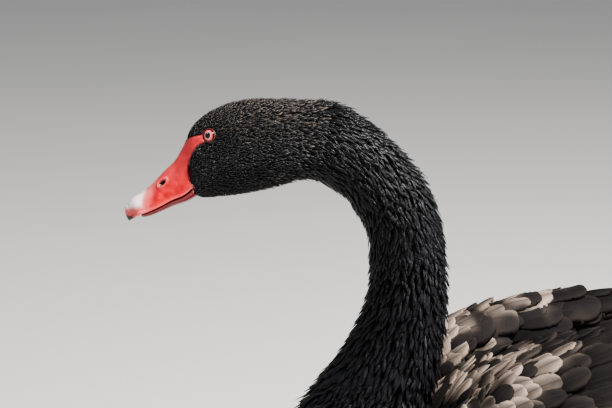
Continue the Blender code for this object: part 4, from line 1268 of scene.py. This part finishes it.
# %% Both legs
for word, side in SIDES.items():
    joined("shank_skin_" + word, [shank(side)], "shank_" + word)
    knuckle = np.array([KNUCKLE[0], -side * LEG_ASIDE, KNUCKLE[1]])
    parts, ends = [], {}
    for name, (turn, length) in TOES.items():
        bend = math.radians(FOOT_TURN + turn)
        way = np.array([-math.cos(bend), -side * math.sin(bend), 0.0]) * length
        ends[name] = way * (1 - WEB_SHORT / length)
        parts.append(toe([knuckle + way * share for share in TOE_SHARES], TOE_RADII,
                         [0.7 * radius for radius in TOE_RADII], int(length * 1.9)))
    behind = np.array([1, side * 0.35, 0]) / math.hypot(1, 0.35)
    reaches, heights, radii = zip(*HIND_TOE)
    parts.append(toe([knuckle + (4, 0, 0) + behind * reach for reach in reaches], radii, heights, 44))
    parts += [web(knuckle, ends["inner"], ends["middle"]), web(knuckle, ends["middle"], ends["outer"])]
    joined("foot_skin_" + word, parts, "foot_" + word)

# %% [markdown]
# ## The finish of feathers
# A black feather is nearly black at its middle and paler at its worn edge. Fine barbs run off its shaft,
# which a bump shows and which break up the shine. An image could show all this, but it would have to be
# painted for thousands of feathers. Here the values that each feather keeps, its place along and across
# itself and its own tone, draw one pattern that differs from feather to feather.

# %% What all feathers share
# The third colour is the pale edge of the head's and neck's feathers: worn, and painted lighter as a silvery
# sheen.
DARK, SOOT, SILVER = (0.0025, 0.0025, 0.0035), (0.010, 0.010, 0.012), (0.04, 0.04, 0.045)
# The last colour is painted shade, for the wing's rear and lower part.
TAN, BROWN, SHADE_BLACK = (0.32, 0.25, 0.205), (0.02, 0.017, 0.016), (0.003, 0.003, 0.004)


def feather_finish(name, dark, pale, edge_colour, edge_from, barb, slant, worn, base, marks, **constants):
    """Feathers from dark to pale, with painted shade towards their root, a worn edge and barbs so many to the
    millimetre.

    The function marks adds what one part of the bird has of its own, with painted sunlight on the crown and
    painted shade on the wing, and gives back the colour, how much of the pale edge shows, and how dark the
    lines between the barbs are."""
    finish = Finish(name, **constants)
    keys = ("tone", "along", "aside", "reach", "edge")
    tone, along, aside, reach, edge = (finish.reading(key) for key in keys)
    across = aside.reckon("ABSOLUTE", aside)
    fray, patchy = finish.noise(700, 3), finish.noise(38, 3)
    angle = (reach * slant - across + fray * 1.6) * (2 * math.pi * barb) + patchy * 4.0
    barbs = finish.node("ShaderNodeMath", {"operation": "SINE"}, {0: angle})
    colour = finish.mix(tone * 0.5 + patchy * 0.35 + barbs * 0.06 + fray * 0.25, dark, pale)
    rim = finish.step(edge + along ** 5.0 * 0.5 + (fray - 0.5) * 0.3, edge_from, 1.1)
    colour, patch, line = marks(finish, colour, tone, along, across, fray, patchy)
    colour = finish.mix(rim * worn * patch * (tone * 0.6 + 0.5), colour, edge_colour)
    # painted shade: each feather is darker towards its root, where the feather above covers it
    lit = finish.step(along, 0.15, 0.85) * (1 - base) + base
    if line:
        lit = lit * (1 - (barbs * 0.5 + 0.5) * finish.step(fray, 0.35, 0.65) * line)
    colour = finish.mix(1.0, colour, finish.mix(lit, (0, 0, 0), (1, 1, 1)), "MULTIPLY")
    return finish.onto(Base_Color=colour, Normal=finish.bump(barbs * 0.35 + fray * 0.65, 0.00022, 0.8))


def finish_with(material, *pieces):
    for piece in pieces:
        piece.data.materials.clear()
        piece.data.materials.append(material)


def named(*starts):
    return [thing for thing in bpy.data.objects if thing.name.startswith(starts)]


print("feather colours", {"dark": DARK, "soot": SOOT, "silver": SILVER, "tan": TAN})

# %% [markdown]
# The body's feathers and the white flight feathers are worn only a little, and evenly. The neck's pale edges,
# worn and painted as a silvery sheen, show in patches. The crown's top has painted sunlight, a brown glow,
# and a few pale specks. Each part's marks are a small function.

# %% The finishes of head, neck, body and white flight feathers
def even_wear(finish, colour, *_):
    return colour, 0.1, 0.0


def neck_wear_and_sheen(finish, colour, tone, along, across, fray, patchy):
    # the silver edge shows in patches: worn edges, and painted silvery sheen
    return colour, patchy * 0.8 + 0.3, 0.0


def crown_sunlight_and_specks(finish, colour, tone, along, across, fray, patchy):
    """Painted sunlight, a brown glow on the crown's top, and pale tips on a few tufts."""
    # painted sunlight: the top of the head is tinted brown where the sun fell on it
    sunlit_crown = finish.step(finish.axis(2) + (patchy - 0.5) * 0.03, 0.545, 0.578)
    colour = finish.mix(sunlit_crown * finish.step(tone + fray * 0.5, 0.5, 1.1) * 0.32, colour, (0.16, 0.115, 0.085))
    speck = finish.step(tone, 0.90, 0.94) * finish.step(along, 0.3, 0.8) * finish.step(patchy, 0.35, 0.6)
    return finish.mix(speck * 0.45, colour, (0.22, 0.18, 0.15)), 0.6, 0.0


black_head = feather_finish("black_head", DARK, (0.028, 0.027, 0.028), SILVER, 0.9, 1.6, 0.0, 0.3, 0.4,
                            crown_sunlight_and_specks, Roughness=0.42, Specular_IOR_Level=0.35)
black_neck = feather_finish("black_neck", DARK, SOOT, SILVER, 0.6, 1.2, 0.1, 0.4, 0.10, neck_wear_and_sheen,
                            Roughness=0.30, Specular_IOR_Level=0.25)
black_body = feather_finish("black_body", DARK, SOOT, TAN, 0.55, 0.9, 0.8, 1.0, 0.3, even_wear,
                            Roughness=0.42, Specular_IOR_Level=0.35)
white_wing = feather_finish("white_wing", (0.55, 0.54, 0.51), (0.8, 0.79, 0.76), (0.85, 0.84, 0.8), 0.6, 0.8,
                            0.8, 0.5, 0.6, even_wear, Roughness=0.5)
finish_with(black_head, *named("coat_face", "coat_head"))
finish_with(black_neck, *named("coat_neck"))
finish_with(black_body, *named("coat_breast", "coat_flank", "coat_thigh"))
finish_with(white_wing, *named("wing_primary"))
print("feather finishes", [material.name for material in (black_head, black_neck, black_body, white_wing)])

# %% [markdown]
# The shoulder's feathers are pale brown at their edges, in patches: worn and faded by sun and water, and
# painted lighter still as sunlight on the wing's lit front. Further back and lower down, painted shade
# darkens the wing to nearly black. A slanting plane in the bird's own space separates the two, so the change
# stays on the bird from every side. Each shaft shows as a fine dark line.

# %% The finish of the wings, the back and the tail
def shoulder_tan_and_shade(finish, colour, tone, along, across, fray, patchy):
    x, y, z = (finish.axis(number) for number in range(3))
    # painted shade: behind and below a slanting plane the wing is darkened towards black
    behind = x * 1.3 - y * 0.6 - (z - 0.375) * 2.2 + (patchy - 0.5) * 0.06
    lit_front = 1 - finish.step(behind, -0.078, -0.026) * 0.97
    colour = finish.mix((1 - lit_front) * 0.85, colour, SHADE_BLACK)
    # the tan patches keep to the lit front: pale worn edges, with painted sunlight on them
    patch = finish.step(finish.noise(17, 2) + (tone - 0.5) * 0.3, 0.42, 0.58) * lit_front * 0.97 + 0.03
    colour = finish.mix(patch * 0.38, colour, TAN)
    shaft = finish.step(across + along * 0.2, 0.75, 0.25)
    return finish.mix(shaft * 0.6, colour, BROWN), patch, 0.15


black_wing = feather_finish("black_wing", (0.005, 0.005, 0.006), (0.022, 0.019, 0.018), TAN, 0.15, 0.8, 0.8,
                            1.0, 0.35, shoulder_tan_and_shade, Roughness=0.60, Specular_IOR_Level=0.04)
dark_rows = ["wing_" + row[0] for row in WING_ROWS if row[0] != "primary"]
finish_with(black_wing, *named("coat_back", "tail_", *dark_rows))
print(black_wing.name, "on", len(named("coat_back", "tail_", *dark_rows)), "pieces")

# %% [markdown]
# ## The finish of the bill and the bare skin
# Red horn is never one red: it is patchy, with a paler mouth edge, and before the dark tip a band that is
# nearly white. Painted highlights make its pores, its ridge and the nostril's rim paler, and painted shade
# darkens the nostril and the lower bill, whose red is darker too. One mesh carries horn and skin, so one
# finish serves both.
# It lays colour over colour, each where a value that the mesh keeps says so: how far from the nostril, above
# the mouth's edge, beyond the pale band or inside the bare skin a point is.

# %% The red bill's finish
def red_bill_finish():
    """Red horn and skin: patchy, with a painted highlight on the ridge, and a pale band before the dark tip.
    """
    finish = Finish("red_bill", Roughness=0.32, Specular_IOR_Level=0.5, Coat_Weight=0.2, Coat_Roughness=0.12)
    patches, pores = finish.noise(150, 4), finish.noise(1400, 3)
    white, pit, above, beyond, fold, inside, mandible = (
        finish.reading(key) for key in ("white", "pit", "above", "beyond", "fold", "inside", "mandible"))
    colour = finish.mix(finish.step(patches, 0.3, 0.7), (0.46, 0.008, 0.012), (0.80, 0.035, 0.035))
    ragged = (patches - 0.5) * 2.4
    layers = [
        # painted glints: the horn's pores painted pale
        (finish.step(pores, 0.5, 0.8) * 0.25, (0.90, 0.16, 0.15)),                      # pores
        # painted highlight along the ridge, where the light falls on the bill's top
        (finish.step(above, 9.0, 20.0) * 0.30, (0.86, 0.10, 0.11)),                     # ridge
        (finish.step(2.0 - above, -0.4, 1.2) * 0.35, (0.90, 0.20, 0.16)),               # mouth's edge
        (finish.step(white + ragged, -9.0, 1.0) * 0.55, (0.88, 0.30, 0.29)),            # pink before the band
        (finish.step(white + ragged, -1.2, 2.6) * 0.9, (0.90, 0.80, 0.76)),             # pale band
        (finish.step(beyond + ragged * 0.3, -0.6, 1.0), (0.012, 0.004, 0.005)),         # dark tip
        # painted highlight on the nostril's raised rim
        (finish.step(1.6 - pit, -0.4, 0.3) * 0.22, (0.88, 0.26, 0.23)),                 # nostril's rim
        # painted shade in the nostril's pit
        (finish.step(pit, 1.10, 0.7), (0.05, 0.002, 0.003)),                            # nostril
        # the lower bill: a darker red, and painted shade under the upper bill
        (mandible * 0.9, (0.11, 0.003, 0.008)),                                         # lower bill
        (finish.step(fold, 0.25, 0.7) * 0.8, (0.50, 0.24, 0.18)),                       # corner of the mouth
        (finish.step(inside + ragged * 0.3, 0.9, -0.3), (0.08, 0.004, 0.006)),          # skin under feathers
    ]
    for share, paint in layers:
        colour = finish.mix(share, colour, paint)
    return finish.onto(Base_Color=colour, Normal=finish.bump(patches * 0.6 + pores * 0.4, 0.0004, 0.6))


finish_with(red_bill_finish(), upper_bill, lower_bill)
print("bill finished")

# %% [markdown]
# ## The finishes of the eye, the lids, the hidden skin and the legs
# The eye is the wettest thing on the bird, so its finish is smooth under a clear coat. A ramp over the
# distance from the line of sight gives the black pupil, its pale inner ring, the red iris and the dark rim.
# Lids and hidden skin are soft and dull, from one short finish. A swan's legs are grey-black skin in
# small scales with dull horn claws. Cells that each hold their distance to the next draw the finest scales.

# %% The eye's finish
EYE_STOPS = [
    # share of the eye's radius, colour
    (0.0, (0.001, 0.001, 0.001)), (0.38, (0.002, 0.001, 0.001)),    # pupil
    (0.42, (0.50, 0.22, 0.21)), (0.49, (0.55, 0.27, 0.26)),         # pale ring
    (0.56, (0.58, 0.05, 0.05)), (0.70, (0.50, 0.015, 0.018)),       # iris
    (0.78, (0.04, 0.003, 0.003)),                                   # rim
]


def eye_finish():
    finish = Finish("red_eye", Roughness=0.06, Specular_IOR_Level=0.6, Coat_Weight=1.0, Coat_Roughness=0.03)
    ring = finish.reading("ring") + (finish.noise(1500, 3) - 0.5) * 0.35
    iris = finish.node("ShaderNodeValToRGB", {"stops": EYE_STOPS}, {0: ring / EYE_RADIUS})
    return finish.onto(Base_Color=iris)


finish_with(eye_finish(), *named("eyeball_"))
print("eyes finished with", len(EYE_STOPS), "stops")

# %% The finishes of the lids and of the hidden skin
def soft_skin(name, pores, dark, pale, deep, **constants):
    """Dull skin with fine pores, so many to the metre."""
    finish = Finish(name, **constants)
    grain = finish.noise(pores, 3)
    return finish.onto(Base_Color=finish.mix(grain, dark, pale), Normal=finish.bump(grain, 0.0004, deep))


finish_with(soft_skin("black_skin", 900, (0.004, 0.004, 0.004), (0.016, 0.015, 0.015), 0.7,
                      Roughness=0.6, Specular_IOR_Level=0.3), skin)
finish_with(soft_skin("eyelid", 1300, (0.012, 0.003, 0.003), (0.10, 0.012, 0.012), 0.6,
                      Roughness=0.38, Specular_IOR_Level=0.5), *named("eyelid_"))
print("skins finished")

# %% The legs' and the claws' finishes
def leg_finish(name, dark, pale, rough):
    """Grey-black skin or horn in small rounded scales."""
    finish = Finish(name, Roughness=rough, Specular_IOR_Level=0.45)
    sockets = {"Vector": finish.place(), "Scale": 620.0}
    scales = finish.node("ShaderNodeTexVoronoi", {"feature": "DISTANCE_TO_EDGE"}, sockets)
    plate = finish.step(scales, 0.0, 0.16)
    colour = finish.mix(plate * 0.6 + finish.noise(90, 3) * 0.4, dark, pale)
    return finish.onto(Base_Color=colour, Normal=finish.bump(plate, 0.0004, 0.7))


claws = [thing for name, thing in frame["nodes"].items() if name.startswith("claw")]
finish_with(leg_finish("leg_skin", (0.010, 0.010, 0.010), (0.060, 0.056, 0.052), 0.45),
            *named("shank_skin", "foot_skin"))
finish_with(leg_finish("horn", (0.012, 0.011, 0.010), (0.035, 0.031, 0.028), 0.35), *claws)
print("legs finished, and", len(claws), "claws")

# %% [markdown]
# ## The picture
# The camera stands where the photograph's did: a metre and a quarter away, on the bird's left and a little
# ahead of it, looking slightly down. A long lens keeps the neck's proportions. The light is a soft window
# high on the right, a weaker one beside it for the sheen, and a faint one from the left for the shadows.

# %% The camera
CAMERA_AIM, CAMERA_AWAY, CAMERA_RISE = (-70.5, 498.06), 1.275, math.radians(14)
LENS, FILM, NEAR = 100, 36, 0.05
aim = in_plane(*CAMERA_AIM, HEAD_TURN) + STANCE
turn = math.radians(HEAD_TURN)
towards = np.array([-math.sin(turn) * math.cos(CAMERA_RISE), -math.cos(turn) * math.cos(CAMERA_RISE),
                    math.sin(CAMERA_RISE)])


def place_looking(name, data, direction, distance):
    """Stands a camera or light off the aim in a direction, and turns it to look at the aim."""
    thing = bpy.data.objects.new(name, data)
    thing.location = Vector(aim + direction * distance)
    thing.rotation_euler = Vector(direction).to_track_quat("Z", "Y").to_euler()
    bpy.context.scene.collection.objects.link(thing)
    return thing


camera = place_looking("camera", bpy.data.cameras.new("camera"), towards, CAMERA_AWAY)
camera.data.lens, camera.data.sensor_width, camera.data.clip_start = LENS, FILM, NEAR
bpy.context.scene.camera = camera
print("camera at", camera.location)

# %% The lights
right, upward = np.array([math.cos(turn), -math.sin(turn), 0.0]), np.array([0.0, 0.0, 1.0])
away = -np.array([towards[0], towards[1], 0.0]) / math.cos(CAMERA_RISE)
WINDOWS = [
    # name, direction, distance, size, power, colour
    ("key", right * 0.62 + upward * 1.0 - away * 0.30, 2.2, 0.6, 150, (1.0, 0.97, 0.93)),
    ("side", right * 1.0 + upward * 0.42 - away * 0.45, 2.4, 0.45, 55, (0.96, 0.97, 1.0)),
    ("fill", -right * 0.7 + upward * 1.0 - away * 0.1, 2.5, 1.2, 16, (0.90, 0.95, 1.0)),
]
for name, direction, distance, size, power, colour in WINDOWS:
    light = bpy.data.lights.new(name, "AREA")
    light.size, light.energy, light.color = size, power, colour
    place_looking(name, light, direction / np.linalg.norm(direction), distance)
print("lights", [row[0] for row in WINDOWS])

# %% The floor and the studio
FLOOR = 30.0
floor = mesh_piece("floor", np.array([(-1, -1, 0), (1, -1, 0), (1, 1, 0), (-1, 1, 0)]) * FLOOR,
                   [np.array([[0, 1, 2, 3]])])
ground = Finish("floor", Roughness=0.9)
plaster = ground.mix(ground.noise(2.0), (0.62, 0.61, 0.59), (0.66, 0.65, 0.63))
finish_with(ground.onto(Base_Color=plaster), floor)

world = bpy.data.worlds.new("studio")
world.use_nodes = True
sky = world.node_tree.nodes["Background"]
sky.inputs["Color"].default_value = (0.86, 0.88, 0.92, 1)
sky.inputs["Strength"].default_value = 0.38
scene = bpy.context.scene
scene.world = world
scene.view_settings.view_transform = "AgX"
scene.view_settings.look = "AgX - Medium High Contrast"
print("studio ready")
